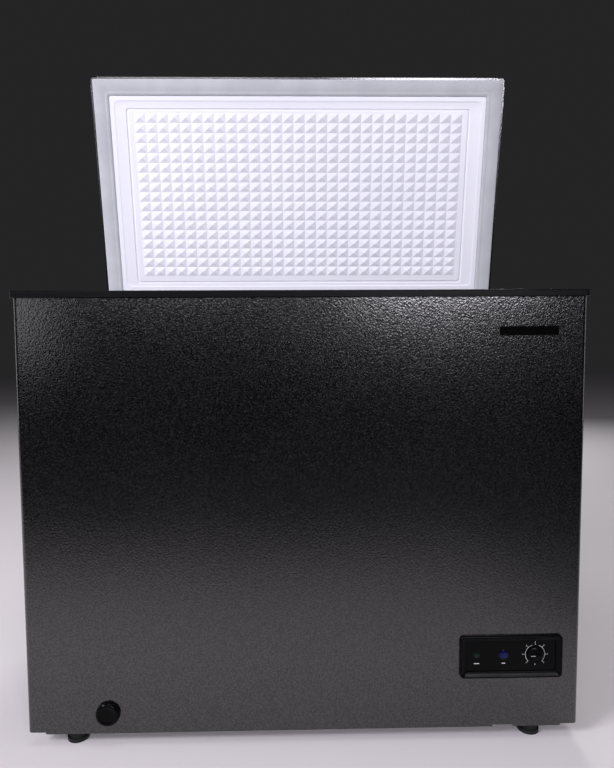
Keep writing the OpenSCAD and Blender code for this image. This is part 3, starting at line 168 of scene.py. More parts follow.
# %% A finish
class Finish:
    """A material with a Principled shader. Constants go straight onto the shader's sockets."""

    def __init__(self, name, constants):
        self.material = bpy.data.materials.new(name)
        self.material.use_nodes = True
        self.tree = self.material.node_tree
        self.shader = self.tree.nodes["Principled BSDF"]
        for socket, value in constants.items():
            self.shader.inputs[socket].default_value = value
        coordinates = self.tree.nodes.new("ShaderNodeTexCoord")
        self.place = Value(self, coordinates.outputs["Object"])

    def give(self, socket, value):
        """Links a value that varies to a socket, or writes a constant on it."""
        if isinstance(value, Value):
            self.tree.links.new(value.socket, socket)
        else:
            socket.default_value = value

    def node(self, kind, settings, sockets, output=0):
        """Adds a node, with its settings before its sockets, and returns one of its outputs."""
        made = self.tree.nodes.new(kind)
        for name, value in settings.items():
            setattr(made, name, value)
        for name, value in sockets.items():
            self.give(made.inputs[name], value)
        return Value(self, made.outputs[output])

    def noise(self, size, detail=2.0, roughness=0.5, place=None):
        """Soft noise from 0 to 1 whose features are about size metres across."""
        sockets = {"Vector": place or self.place, "Scale": 1 / size, "Detail": detail,
                   "Roughness": roughness}
        return self.node("ShaderNodeTexNoise", {}, sockets, "Fac")

    def cells(self, size, feature="F1", output="Distance"):
        """The distance, or another output, inside a pattern of cells about size metres across."""
        sockets = {"Vector": self.place, "Scale": 1 / size}
        return self.node("ShaderNodeTexVoronoi", {"feature": feature}, sockets, output)

    def stretched(self, scale):
        """The surface's place with each axis scaled, for a pattern with a direction."""
        sockets = {"Vector": self.place, "Scale": scale}
        return self.node("ShaderNodeMapping", {"vector_type": "POINT"}, sockets)

    def along(self, axis):
        """The surface's place along X, Y or Z, in metres."""
        return self.node("ShaderNodeSeparateXYZ", {}, {"Vector": self.place}, axis)

    def vector(self, operation, first, second=(0.0, 0.0, 0.0), output="Vector"):
        """Vector maths, which keeps three numbers apart where a Math node would make them one."""
        return self.node("ShaderNodeVectorMath", {"operation": operation}, {0: first, 1: second}, output)

    def blend(self, factor, first, second):
        """A colour that goes from first to second as factor goes from 0 to 1.

        On the Mix node, sockets 6 and 7 are the two colours and output 2 is the mixed one.
        """
        sockets = {"Factor": factor, 6: first, 7: second}
        return self.node("ShaderNodeMix", {"data_type": "RGBA", "clamp_factor": True}, sockets, 2)

    def spread(self, value, low, high, to_low, to_high, way="LINEAR"):
        """Maps value from low..high to to_low..to_high, and holds it there."""
        sockets = {"Value": value, "From Min": low, "From Max": high, "To Min": to_low, "To Max": to_high}
        return self.node("ShaderNodeMapRange", {"clamp": True, "interpolation_type": way}, sockets)

    def feed(self, socket, value):
        """Gives a value to one of the shader's own sockets."""
        self.give(self.shader.inputs[socket], value)

    def bump(self, height, depth, strength=1.0):
        """Raises the surface by height, where 1 stands for depth metres."""
        sockets = {"Height": height, "Distance": depth, "Strength": strength}
        self.feed("Normal", self.node("ShaderNodeBump", {}, sockets, "Normal"))


def grey(level, blue=1.0):
    return (level, level, level * blue, 1.0)


print("a finish feeds one Principled shader")

# %% [markdown]
# ## Cabinet paint
#
# The wrap and the lid are steel with a baked, dark grey textured paint. Close to, it is a pebble grain:
# low rounded bumps two or three millimetres across with finer ones between them. Cells and noise give
# that grain at any size, and without a seam at the corners. From a metre away bumps that small look
# almost smooth, so the flakes in the paint also differ in colour, in how metallic they are and in how
# rough they are. The paint is satin, so broad reflections of the floor and lamps slide over it as soft
# gradients.

# %% Cabinet paint
BLACKEST_PAINT, FLAKE_GREY = (0.0002, 0.0002, 0.0003, 1), (0.0122, 0.0115, 0.0130, 1)
SATIN, DULLER_SATIN = 0.14, 0.235


def cabinet_paint():
    finish = Finish("cabinet_paint", {"IOR": 1.8, "Specular IOR Level": 0.67})
    pebbles = finish.cells(2.8 * MM, "SMOOTH_F1")
    fine = finish.noise(1.1 * MM, 3.0, 0.6)
    finish.bump((1 - pebbles) * 1.22 + fine * 0.15, 0.15 * MM, 0.9)
    cloud = finish.noise(160 * MM, 3.0)
    flakes = finish.spread(finish.noise(2.8 * MM, 2.0, 0.6), 0.5, 0.66, 0.0, 1.0)
    tone = finish.spread(cloud, 0.3, 0.7, 0.0, 1.0) * 0.1 + flakes * 0.9
    finish.feed("Base Color", finish.blend(tone, BLACKEST_PAINT, FLAKE_GREY))
    specks = finish.noise(2.6 * MM, 1.0)
    finish.feed("Roughness", finish.spread(specks + cloud * 0.15, 0.38, 0.78, SATIN, DULLER_SATIN))
    finish.feed("Metallic", finish.spread(specks, 0.35, 0.65, 0.36, 0.0))
    return finish.material


finishes = {"cabinet_paint": cabinet_paint()}
print("paint made:", ", ".join(finishes))

# %% [markdown]
# ## Plastics, rubber and enamel
#
# The top frame, handle and grille are moulded in black plastic with a very fine spark-eroded grain. The
# feet, the cable sleeves, the rubber mounts, the compressor's enamel and the hinge paint are made the
# same way, each a little paler, duller or shinier. The control panel's frame and knob are smoother. The
# fascia, the badge and the drain cap are glossy, and pick up faint rubbing marks that run across them.
# Each could have a graph of its own, but within each of these two kinds only a few numbers differ, so
# two functions make them all.

# %% Plastics
def moulded_plastic(name, level, roughness, grain_depth, shine=0.14):
    finish = Finish(name, {"IOR": 1.5, "Specular IOR Level": shine})
    haze = finish.noise(70 * MM, 3.0)
    finish.feed("Base Color", finish.blend(haze, grey(level * 0.8, 1.1), grey(level * 1.25, 1.1)))
    finish.feed("Roughness", finish.spread(haze, 0.3, 0.7, roughness - 0.05, roughness + 0.06))
    finish.bump(finish.noise(0.7 * MM, 3.0, 0.6), grain_depth, 0.5)
    return finish.material


def glossy_black(name, level):
    finish = Finish(name, {"IOR": 1.5, "Specular IOR Level": 0.07})
    rubbing = finish.noise(2 * MM, 4.0, 0.7, finish.stretched((1.0, 1.0, 6.0)))
    haze = finish.noise(25 * MM, 2.0)
    finish.feed("Base Color", finish.blend(haze, grey(level * 0.7), grey(level * 1.3)))
    finish.feed("Roughness", finish.spread(rubbing * haze, 0.15, 0.45, 0.09, 0.2))
    return finish.material


panel_plastic = moulded_plastic("panel_plastic", 0.0025, 0.2, 0.03 * MM, 0.05)
plastics = {
    "black_plastic": moulded_plastic("black_plastic", 0.004, 0.34, 0.06 * MM, 0.07),
    "white_plastic": moulded_plastic("white_plastic", 0.62, 0.45, 0.06 * MM),
    "foot_plastic": moulded_plastic("foot_plastic", 0.014, 0.5, 0.08 * MM),
    "black_rubber": moulded_plastic("black_rubber", 0.016, 0.66, 0.12 * MM),
    "black_enamel": moulded_plastic("black_enamel", 0.008, 0.24, 0.05 * MM),
    "cable_sleeve": moulded_plastic("cable_sleeve", 0.02, 0.55, 0.1 * MM),
    "hinge_paint": moulded_plastic("hinge_paint", 0.02, 0.42, 0.1 * MM),
    "gloss_black": glossy_black("gloss_black", 0.002),
}
finishes.update(plastics)
print("plastics made:", ", ".join(plastics))

# %% [markdown]
# ## The lid's liner and seal
#
# The liner is white polystyrene, formed over a mould by vacuum: bright, a little blue, and glossy enough
# for a soft highlight on each facet. The seal is pale grey vinyl, matt and slightly uneven. Each could
# be one flat colour. Here a slow cloud of noise shifts their shade and a fine one roughens their skin,
# because moulded plastic is never quite even. The liner's gloss follows the cloud, the seal's the fine
# noise.

# %% Liner and seal finishes
LINER_SHADES = (0.800, 0.795, 0.868, 1), (0.828, 0.825, 0.893, 1)
SEAL_SHADES = (0.440, 0.445, 0.482, 1), (0.518, 0.525, 0.557, 1)


def liner_finish():
    finish = Finish("white_liner", {"IOR": 1.5, "Specular IOR Level": 0.45})
    cloud = finish.noise(90 * MM, 3.0)
    finish.feed("Base Color", finish.blend(cloud, *LINER_SHADES))
    finish.feed("Roughness", finish.spread(cloud, 0.3, 0.7, 0.3, 0.42))
    finish.bump(finish.noise(1.5 * MM, 3.0, 0.6), 0.05 * MM, 0.4)
    return finish.material


def seal_finish():
    finish = Finish("grey_gasket", {"IOR": 1.47, "Specular IOR Level": 0.35})
    cloud = finish.noise(60 * MM, 3.0)
    specks = finish.noise(3 * MM, 4.0, 0.7)
    tone = finish.spread(cloud + specks * 0.4, 0.5, 0.95, 0.0, 1.0)
    finish.feed("Base Color", finish.blend(tone, *SEAL_SHADES))
    finish.feed("Roughness", finish.spread(specks, 0.3, 0.7, 0.55, 0.7))
    finish.bump(specks, 0.06 * MM, 0.5)
    return finish.material


lid_finishes = {"white_liner": liner_finish(), "grey_gasket": seal_finish()}
finishes.update(lid_finishes)
print("lid finishes made:", ", ".join(lid_finishes))

# %% [markdown]
# ## Metals
#
# The tank is thin aluminium, rolled between embossed rollers so that small dimples hide dents. The back
# panel, the bottom pan and the compressor's tray are galvanised steel, whose zinc shows as large dull
# crystals. The tubes are copper and aluminium, the thermostat's shaft is brass, the screws are
# zinc-plated, and the hinges' pins and springs are bright steel. The two sheets have a pattern of their
# own, so each has its own function. The others differ only in colour and shine. All of them get stains
# and a fine roughness, so one function serves them.

# %% Metals
def embossed_aluminium():
    finish = Finish("tank_sheet", {"Metallic": 1.0})
    warp = finish.noise(60 * MM, 3.0)
    scuffs = finish.noise(2 * MM, 4.0, 0.7)
    finish.feed("Base Color", finish.blend(warp, (0.60, 0.61, 0.63, 1), (0.74, 0.75, 0.77, 1)))
    finish.feed("Roughness", finish.spread(warp + scuffs * 0.4, 0.4, 1.0, 0.28, 0.45))
    finish.bump(finish.cells(5.5 * MM, "SMOOTH_F1"), 0.5 * MM, 0.7)
    return finish.material


def galvanised():
    finish = Finish("galvanised_steel", {"Metallic": 1.0})
    crystals = finish.cells(9 * MM, output="Color")
    shade = finish.node("ShaderNodeSeparateColor", {}, {"Color": crystals}, "Red")
    stain = finish.noise(120 * MM, 4.0, 0.6)
    tone = shade * 0.5 + stain * 0.5
    finish.feed("Base Color", finish.blend(tone, (0.36, 0.37, 0.38, 1), (0.56, 0.57, 0.58, 1)))
    finish.feed("Roughness", finish.spread(shade + stain, 0.4, 1.5, 0.38, 0.6))
    finish.bump(shade, 0.02 * MM, 0.3)
    return finish.material


def drawn_metal(name, dark, light, roughness):
    finish = Finish(name, {"Metallic": 1.0})
    stain = finish.noise(14 * MM, 4.0, 0.6)
    drawn = finish.noise(1.2 * MM, 3.0, 0.6)
    finish.feed("Base Color", finish.blend(finish.spread(stain, 0.3, 0.7, 0.0, 1.0), dark, light))
    finish.feed("Roughness", finish.spread(stain + drawn, 0.7, 1.3, roughness - 0.08, roughness + 0.12))
    finish.bump(drawn, 0.03 * MM, 0.4)
    return finish.material


drawn_metals = [
    ("copper", (0.42, 0.17, 0.09, 1), (0.72, 0.36, 0.22, 1), 0.34),
    ("brass", (0.50, 0.36, 0.14, 1), (0.72, 0.56, 0.26, 1), 0.3),
    ("aluminium_tube", (0.55, 0.55, 0.57, 1), (0.74, 0.74, 0.75, 1), 0.35),
    ("zinc_steel", (0.42, 0.41, 0.36, 1), (0.66, 0.65, 0.60, 1), 0.32),
    ("bright_steel", (0.44, 0.44, 0.46, 1), (0.64, 0.64, 0.66, 1), 0.26),
]
metals = {metal[0]: drawn_metal(*metal) for metal in drawn_metals}
metals.update({"tank_sheet": embossed_aluminium(), "galvanised_steel": galvanised()})
finishes.update(metals)
print("metals made:", ", ".join(metals))

# %% [markdown]
# ## Foam and coated wire
#
# The cabinet and the lid are filled with yellow foam, whose cut bubbles make it dull. The basket's wire
# is dipped in white plastic, which is smooth but gathers in soft drips. Both could be modelled, but at
# this size a bump is enough: cells stand for the bubbles, and a noise about as wide as the wire for the
# drips.

# %% Foam and wire
def rigid_foam():
    finish = Finish("insulation_foam", {"Specular IOR Level": 0.2})
    bubbles = finish.cells(1.5 * MM)
    cloud = finish.noise(40 * MM, 4.0)
    finish.feed("Base Color", finish.blend(cloud, (0.72, 0.58, 0.28, 1), (0.88, 0.77, 0.45, 1)))
    finish.feed("Roughness", finish.spread(bubbles, 0.0, 0.8, 0.75, 0.95))
    finish.bump(bubbles, 0.4 * MM, 0.6)
    return finish.material


def coated_wire():
    finish = Finish("basket_coating", {"IOR": 1.5, "Specular IOR Level": 0.5})
    cloud = finish.noise(25 * MM, 3.0)
    drips = finish.noise(4 * MM, 2.0)
    finish.feed("Base Color", finish.blend(cloud, (0.76, 0.76, 0.78, 1), (0.84, 0.84, 0.86, 1)))
    finish.feed("Roughness", finish.spread(cloud, 0.3, 0.7, 0.25, 0.4))
    finish.bump(drips, 0.1 * MM, 0.4)
    return finish.material


fillings = {"insulation_foam": rigid_foam(), "basket_coating": coated_wire()}
finishes.update(fillings)
print("foam and coating made:", ", ".join(fillings))

# %% [markdown]
# ## Lenses and printing
#
# The two lamps are off. Behind the clear outer skin each lens is moulded in small prisms, which catch light
# and show as brighter cells that fade towards the edge. The prisms could be modelled under a clear skin.
# Here cells in the colour and in the bump stand for them: the colour is a painted glow, brightest in the
# middle and in the cells, so that no light has to be followed through the lens.
# The dial's marks are white ink, a little worn.

# %% Lenses and printing
def lens_finish(name, node, deep, bright):
    constants = {"IOR": 1.5, "Specular IOR Level": 0.15, "Coat Weight": 0.1, "Coat Roughness": 0.08}
    finish = Finish(name, constants)
    low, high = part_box(node)
    from_middle = finish.vector("SUBTRACT", finish.place, (low + high) / 2)
    flat = finish.vector("MULTIPLY", from_middle, (1.0, 0.0, 1.0))
    reach = finish.vector("LENGTH", flat, output="Value")
    # painted light: the colour glows brightest in the middle and in the prism cells, for light caught in the lens
    edge = finish.spread(reach, 0.0, (high.x - low.x) / 2, 1.0, 0.0)
    prisms = finish.cells(2.4 * MM)
    glow = edge * finish.spread(prisms, 0.1, 0.7, 1.0, 0.25)
    finish.feed("Base Color", finish.blend(glow, deep, bright))
    finish.feed("Roughness", finish.spread(prisms, 0.0, 1.0, 0.1, 0.25))
    finish.bump(prisms, 0.4 * MM, 0.4)
    return finish.material


def white_ink():
    finish = Finish("white_ink", {"IOR": 1.45, "Specular IOR Level": 0.3})
    wear = finish.noise(1.5 * MM, 3.0, 0.6)
    finish.feed("Base Color", finish.blend(wear, (0.42, 0.42, 0.44, 1), (0.66, 0.66, 0.68, 1)))
    finish.feed("Roughness", finish.spread(wear, 0.3, 0.7, 0.4, 0.6))
    return finish.material


# each lens's own deep colour, and the colour of its painted glow
DEEP_GREEN, PAINTED_GLOW_GREEN = (0.0006, 0.002, 0.0015, 1), (0.005, 0.034, 0.024, 1)
DEEP_BLUE, PAINTED_GLOW_BLUE = (0.0006, 0.0006, 0.006, 1), (0.010, 0.015, 0.20, 1)
lenses = {
    "green_lens": lens_finish("green_lens", "power_lamp", DEEP_GREEN, PAINTED_GLOW_GREEN),
    "blue_lens": lens_finish("blue_lens", "run_lamp", DEEP_BLUE, PAINTED_GLOW_BLUE),
}
finishes.update(lenses)
ink = white_ink()
print("lenses and ink made:", ", ".join(lenses))

# %% [markdown]
# ## Giving every CAD piece its finish
#
# The record names a material slot for each piece, and the finishes are kept by slot, so one loop puts
# the right finish into each piece.

# %% Finishes by slot
for subpart in frame["record"]["subparts"]:
    mesh = nodes[subpart["node"]].data
    mesh.materials.clear()
    mesh.materials.append(finishes[subpart["material_slot"]])

# %% [markdown]
# ## Helpers for new pieces
#
# Each new piece is a bmesh that is shaped by operators and then written into an object at the origin.
# The operators need the edges or faces that belong to some corners, so two small helpers gather them,
# always in the same order, so that every run makes the same mesh.

# %% Mesh helpers
WELD = 0.01 * MM


def edges_of(corners):
    return list(dict.fromkeys(edge for corner in corners for edge in corner.link_edges))


def faces_of(corners):
    return list(dict.fromkeys(face for corner in corners for face in corner.link_faces))


def finish_piece(name, shape, finish, body, moved, smooth_angle=radians(35)):
    """Writes a bmesh into an object that rides on a body and wears the finish it is given."""
    bmesh.ops.remove_doubles(shape, verts=shape.verts, dist=WELD)
    bmesh.ops.recalc_face_normals(shape, faces=shape.faces)
    bmesh.ops.transform(shape, matrix=moved, verts=shape.verts)
    for edge in shape.edges:
        edge.smooth = len(edge.link_faces) == 2 and edge.calc_face_angle(0.0) < smooth_angle
    for face in shape.faces:
        face.smooth = True
    mesh = bpy.data.meshes.new(name)
    shape.to_mesh(mesh)
    shape.free()
    mesh.materials.append(finish)
    piece = bpy.data.objects.new(name, mesh)
    bpy.context.scene.collection.objects.link(piece)
    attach(piece, body)
    print(f"{name}: {len(mesh.polygons)} faces")
    return piece


print("mesh helpers ready")

# %% [markdown]
# ## Rounded rings
#
# Most of the lid's trim, and the panel's frame, is a set of rounded rectangles joined one after
# another, like the sections of a picture frame. One helper makes such a loop, by bevelling the corners
# of a square, and another joins the loops.

# %% Rounded rings
CORNER_STEPS = 6


def rounded_loop(shape, half_x, half_y, radius, z):
    """A rounded rectangle of edges about Z, with no face in it."""
    square = bmesh.ops.create_grid(shape, x_segments=1, y_segments=1, size=1.0)["verts"]
    bmesh.ops.scale(shape, vec=(half_x, half_y, 1.0), verts=square)
    bmesh.ops.translate(shape, vec=(0, 0, z), verts=square)
    arcs = bmesh.ops.bevel(shape, geom=square, affect="VERTICES", offset=radius, offset_type="OFFSET",
                           segments=CORNER_STEPS, profile=0.5, material=-1)["verts"]
    edges = edges_of(arcs)
    bmesh.ops.delete(shape, geom=faces_of(arcs), context="FACES_ONLY")
    return edges


def joined_rings(shape, rings, closed=False):
    """Joins rounded loops, given as (middle, half_x, half_y, radius), one after another.

    They are joined as a stack, one well above the next, and then moved to their places: the bridge
    operator can turn one of two loops over where both lie in one plane.
    """
    apart = 0.1
    loops = [rounded_loop(shape, *ring[1:], step * apart) for step, ring in enumerate(rings)]
    pairs = list(zip(loops, loops[1:])) + ([(loops[-1], loops[0])] if closed else [])
    for first, second in pairs:
        bmesh.ops.bridge_loops(shape, edges=first + second)
    for step, (loop, ring) in enumerate(zip(loops, rings)):
        corners = list(dict.fromkeys(corner for edge in loop for corner in edge.verts))
        bmesh.ops.translate(shape, vec=ring[0] - Vector((0, 0, step * apart)), verts=corners)
    return loops


def lid_ring(side, front, back, radius, z):
    """A ring that lies in from the lid's sides, front and back edges by given distances."""
    middle = Vector(((lid_low.x + lid_high.x) / 2, (lid_low.y + front + lid_high.y - back) / 2, z))
    half_x = (lid_high.x - lid_low.x) / 2 - side
    half_y = (lid_high.y - lid_low.y - front - back) / 2
    return middle, half_x, half_y, radius


print("rounded rings ready")

# %% [markdown]
# ## The embossed liner
#
# The sheet inside the lid is drawn over a mould in one piece. Its flat edge lies behind the seal. From
# the seal inwards it rises to a proud, flat border, falls a little to a level band with a narrow groove
# in it, and carries a field of low pyramids, which stiffen it and hide scratches. The pyramids start as
# one grid: every face is inset, which leaves the flat bars between them, and is then poked up to a point.
# The rest is a set of rounded rings, narrower at the hinged side, and a fill joins the two.

# %% Embossed field
PYRAMIDS_ACROSS, PYRAMIDS_DEEP = 29, 17
PYRAMID_HEIGHT = 3.5 * MM
FLAT_BAR = 0.45 * MM
FIELD_SIDE, FIELD_FRONT, FIELD_BACK = 93.5 * MM, 75.5 * MM, 65.5 * MM
field_z = liner_low.z + 4.5 * MM


def embossed_field(shape):
    """A grid of pyramids that point down, and the edges of its border."""
    low = Vector((lid_low.x + FIELD_SIDE, lid_low.y + FIELD_FRONT, field_z))
    high = Vector((lid_high.x - FIELD_SIDE, lid_high.y - FIELD_BACK, field_z))
    grid = bmesh.ops.create_grid(shape, x_segments=PYRAMIDS_ACROSS, y_segments=PYRAMIDS_DEEP,
                                 size=1.0)["verts"]
    bmesh.ops.scale(shape, vec=((high.x - low.x) / 2, (high.y - low.y) / 2, 1.0), verts=grid)
    bmesh.ops.translate(shape, vec=(low + high) / 2, verts=grid)
    squares = faces_of(grid)
    bmesh.ops.reverse_faces(shape, faces=squares)
    bmesh.ops.inset_individual(shape, faces=squares, thickness=FLAT_BAR, use_even_offset=True)
    bmesh.ops.poke(shape, faces=squares, offset=PYRAMID_HEIGHT)
    return [edge for edge in shape.edges if edge.is_boundary]


print("field of", PYRAMIDS_ACROSS * PYRAMIDS_DEEP, "pyramids")

# %% [markdown]
# ## The liner's border
#
# The steps of the border are given as points of its section, from the edge inwards. The sheet gets its
# thickness last, away from the side that shows: once the normals agree, the largest face tells which
# side that is.

# %% Embossed liner
SHEET = 1.6 * MM
BORDER, BACK_BORDER, LEAST_BORDER = 40 * MM, 30 * MM, 2 * MM
GROOVE_SIDE, GROOVE_FRONT, GROOVE_BACK = 78.5 * MM, 68.5 * MM, 50.5 * MM
GROOVE_CORNER = 6 * MM

# (in from the seal, corner radius, depth behind the field), in millimetres
BORDER_SECTION = [(-38.0, 6, 6.0), (-0.2, 5, 6.0), (0.0, 4.8, 0.3), (0.35, 4.6, -0.4), (1.2, 4.5, -0.9),
                  (9.6, 12, -0.9), (11.2, 13, -0.2), (12.4, 13, 0.0)]
# (in from the groove's middle, depth behind the field), in millimetres
GROOVE_SECTION = [(-2.8, 0.0), (-1.3, 1.3), (1.3, 1.3), (2.8, 0.0)]


def liner_rings():
    rings = []
    for inward, radius, depth in BORDER_SECTION:
        side, back = BORDER + inward * MM, max(BACK_BORDER + inward * MM, LEAST_BORDER)
        rings.append(lid_ring(side, side, back, radius * MM, field_z + depth * MM))
    for inward, depth in GROOVE_SECTION:
        side, front, back = (place + inward * MM for place in (GROOVE_SIDE, GROOVE_FRONT, GROOVE_BACK))
        rings.append(lid_ring(side, front, back, GROOVE_CORNER, field_z + depth * MM))
    return rings


def embossed_liner():
    shape = bmesh.new()
    border = embossed_field(shape)
    loops = joined_rings(shape, liner_rings())
    bmesh.ops.triangle_fill(shape, use_beauty=True, edges=border + loops[-1])
    bmesh.ops.remove_doubles(shape, verts=shape.verts, dist=WELD)
    bmesh.ops.recalc_face_normals(shape, faces=shape.faces)
    largest = max(shape.faces, key=lambda face: face.calc_area())
    thickness = SHEET if largest.normal.z < 0 else -SHEET
    bmesh.ops.solidify(shape, geom=shape.faces[:], thickness=thickness)
    return finish_piece("liner_sheet", shape, finishes["white_liner"], "lid",
                        moved=open_lid, smooth_angle=radians(14))


liner_sheet = embossed_liner()
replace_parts(liner_sheet, "lid_liner")

# %% [markdown]
# ## The seal
#
# The seal is extruded vinyl, cut at 45 degrees and welded at the four corners. It is a broad soft band
# with rounded edges that meets the rim, with one fold line near the liner. A section swept round a path
# would be as wide on all four sides, but this band is narrower at the hinges. So its section is given as
# a few points across the band, and a rounded loop is made at each of them.

# %% Seal
SEAL_CLEAR = 0.3 * MM
SEAL_CORNER = 4.5 * MM

# (part of the way in from the outer edge, part of the height above the lowest point)
SEAL_SECTION = [(0.0, 1.0), (0.0, 0.30), (0.02, 0.08), (0.07, 0.0), (0.45, 0.015), (0.74, 0.0),
                (0.76, 0.03), (0.78, 0.0), (0.86, 0.02), (0.93, 0.08), (0.98, 0.17), (1.0, 0.26),
                (1.0, 1.0)]


def seal_band():
    shape = bmesh.new()
    height = seal_high.z - seal_low.z
    outer = seal_low.x - lid_low.x
    rings = []
    for inward, part in SEAL_SECTION:
        side = outer + inward * (BORDER - SEAL_CLEAR - outer)
        back = outer + inward * (BACK_BORDER - SEAL_CLEAR - outer)
        rings.append(lid_ring(side, side, back, SEAL_CORNER, seal_low.z + part * height))
    joined_rings(shape, rings, closed=True)
    return finish_piece("seal_band", shape, finishes["grey_gasket"], "lid",
                        moved=open_lid, smooth_angle=radians(50))


seal = seal_band()
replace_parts(seal, "lid_gasket")

# %% [markdown]
# ## Turned shapes and blocks
#
# The small fittings are turned shapes and blocks. A turned shape is a profile of a few points that is
# spun about Z, and a block is a cube whose edges may be rounded. Both are built lying on their backs and
# are then turned to face the front.

# %% Turned shapes and blocks
FULL_TURN_STEPS, BLOCK_STEPS = 64, 3


def facing_front(x, y, z):
    """Turns a shape that is built along +Z so that it faces the front at a place."""
    return Matrix.Translation((x, y, z)) @ Matrix.Rotation(pi / 2, 4, "X")


def turned(shape, profile):
    """Spins a profile of (radius, height) points, in millimetres, into a solid about Z."""
    corners = [shape.verts.new((radius * MM, 0.0, height * MM)) for radius, height in profile]
    edges = [shape.edges.new(pair) for pair in zip(corners, corners[1:])]
    bmesh.ops.spin(shape, geom=corners + edges, cent=(0, 0, 0), axis=(0, 0, 1), dvec=(0, 0, 0),
                   angle=2 * pi, steps=FULL_TURN_STEPS, use_merge=True, use_duplicate=False)
    bmesh.ops.remove_doubles(shape, verts=shape.verts, dist=WELD / 2)


def block(shape, low, high, rounding=0.0):
    """A block between two corners, in millimetres. Returns its corners, which a rounding uses up."""
    low, high = Vector(low) * MM, Vector(high) * MM
    cube = bmesh.ops.create_cube(shape, size=1.0)["verts"]
    bmesh.ops.scale(shape, vec=high - low, verts=cube)
    bmesh.ops.translate(shape, vec=(low + high) / 2, verts=cube)
    if rounding > 0:
        bmesh.ops.bevel(shape, geom=edges_of(cube), affect="EDGES", offset=rounding * MM,
                        offset_type="OFFSET", segments=BLOCK_STEPS, profile=0.5, material=-1)
    return cube


print("turned shapes take", FULL_TURN_STEPS, "steps a turn")

# %% [markdown]
# ## The thermostat knob
#
# The knob is one moulding: a thin skirt, a raised disc and a grip bar with a white line at one end. The
# skirt and the disc are one profile, and the bar stands on them. The line is ink on the bar. Its sizes
# are in millimetres, out from the axis and forward from the fascia.

# %% Knob
knob_low, knob_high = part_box("thermostat_knob")
knob_middle = (knob_low + knob_high) / 2
knob_radius = (knob_high.x - knob_low.x) / 2 / MM
knob_height = (knob_high.y - knob_low.y) / MM
knob_place = facing_front(knob_middle.x, knob_high.y, knob_middle.z)
bar_reach, BAR_HALF_WIDTH = knob_radius - 3, 2.2


def thermostat_knob():
    shape = bmesh.new()
    turned(shape, [(0, 0), (knob_radius - 0.3, 0), (knob_radius, 0.4), (knob_radius, 1.7),
                   (knob_radius - 0.6, 2.3), (knob_radius - 1.8, 2.6), (knob_radius - 2.3, 3.0),
                   (knob_radius - 3.0, 3.4), (0, 3.5)])
    block(shape, (-bar_reach, -BAR_HALF_WIDTH, 1.0), (bar_reach, BAR_HALF_WIDTH, knob_height), 0.9)
    return finish_piece("knob_moulding", shape, panel_plastic, "thermostat",
                        moved=knob_place, smooth_angle=radians(40))


def pointer_line():
    shape = bmesh.new()
    block(shape, (-bar_reach + 0.6, -0.35, knob_height - 0.2), (-2, 0.35, knob_height + 0.02))
    finish_piece("pointer_line", shape, ink, "thermostat", moved=knob_place)


knob = thermostat_knob()
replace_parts(knob, "thermostat_knob")
pointer_line()

# %% [markdown]
# ## The bezel
#
# The frame round the fascia is moulded with round corners: an outer wall, a soft ridge and a slope down
# to the fascia, which hides the joint. Bevelled edges on a block would give one radius everywhere, so it
# is a set of rounded rings instead, one for each point of its section.

# %% Bezel
bezel_low, bezel_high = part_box("control_bezel")
bezel_middle = (bezel_low + bezel_high) / 2

# (in from the outer edge, corner radius, height above the sheet), in millimetres
BEZEL_SECTION = [(0, 8, 0), (0, 8, 3.2), (0.5, 7.6, 4.2), (1.4, 7, 4.8), (2.4, 6.2, 5), (3.3, 5.6, 4.8),
                 (4.2, 5, 4.1), (8.8, 2.6, 1.5), (9.6, 2.2, 1.3), (10.2, 2, 1.1), (10.5, 2, 0.6),
                 (10.5, 2, -1.5), (8.5, 3, -1.5), (8.5, 3, 0)]


def bezel_moulding():
    shape = bmesh.new()
    half_x, half_z = (bezel_high.x - bezel_low.x) / 2, (bezel_high.z - bezel_low.z) / 2
    rings = [(Vector((0, 0, up * MM)), half_x - inward * MM, half_z - inward * MM, radius * MM)
             for inward, radius, up in BEZEL_SECTION]
    joined_rings(shape, rings, closed=True)
    place = facing_front(bezel_middle.x, FRONT_Y, bezel_middle.z)
    return finish_piece("bezel_moulding", shape, panel_plastic, "cabinet",
                        moved=place, smooth_angle=radians(50))


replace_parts(bezel_moulding(), "control_bezel")

# %% [markdown]
# ## The dial
#
# Round the knob a thin ring of ink, broken at the top and bottom, carries a tick for each setting from
# 1 to 7. Ink is thin but not flat, so every mark is a solid a tenth of a millimetre thick on the fascia.
# An arc is the end face of a small bar that is spun round the dial.

# %% Dial ring and ticks
# in millimetres and degrees
INK = 0.12
RING_RADIUS, RING_WIDTH = 16.6, 0.55
LEFT_ARC, RIGHT_ARC = (108, 226), (-46, 68)
TICK_LENGTH, TICK_WIDTH = 3.0, 0.6
SETTINGS = 8
DEGREES_A_STEP = 4
fascia_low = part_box("control_fascia")[0]


def setting_angle(number):
    """Degrees anticlockwise from the right, with 0 at the bottom and the rest clockwise from it."""
    return -90 - number * 360 / SETTINGS


def arc_of_ink(shape, start, end):
    """A part of the dial's ring about Z, between two angles in degrees."""
    bar = bmesh.ops.create_grid(shape, x_segments=1, y_segments=1, size=0.5)["verts"]
    bmesh.ops.scale(shape, vec=(RING_WIDTH * MM, INK * MM, 1), verts=bar)
    bmesh.ops.rotate(shape, matrix=Matrix.Rotation(pi / 2, 3, "X"), verts=bar)
    bmesh.ops.translate(shape, vec=(RING_RADIUS * MM, 0, INK / 2 * MM), verts=bar)
    bmesh.ops.rotate(shape, matrix=Matrix.Rotation(radians(start), 3, "Z"), verts=bar)
    bmesh.ops.spin(shape, geom=bar + edges_of(bar) + faces_of(bar), cent=(0, 0, 0), axis=(0, 0, 1),
                   dvec=(0, 0, 0), angle=radians(end - start), steps=int((end - start) / DEGREES_A_STEP),
                   use_duplicate=False)


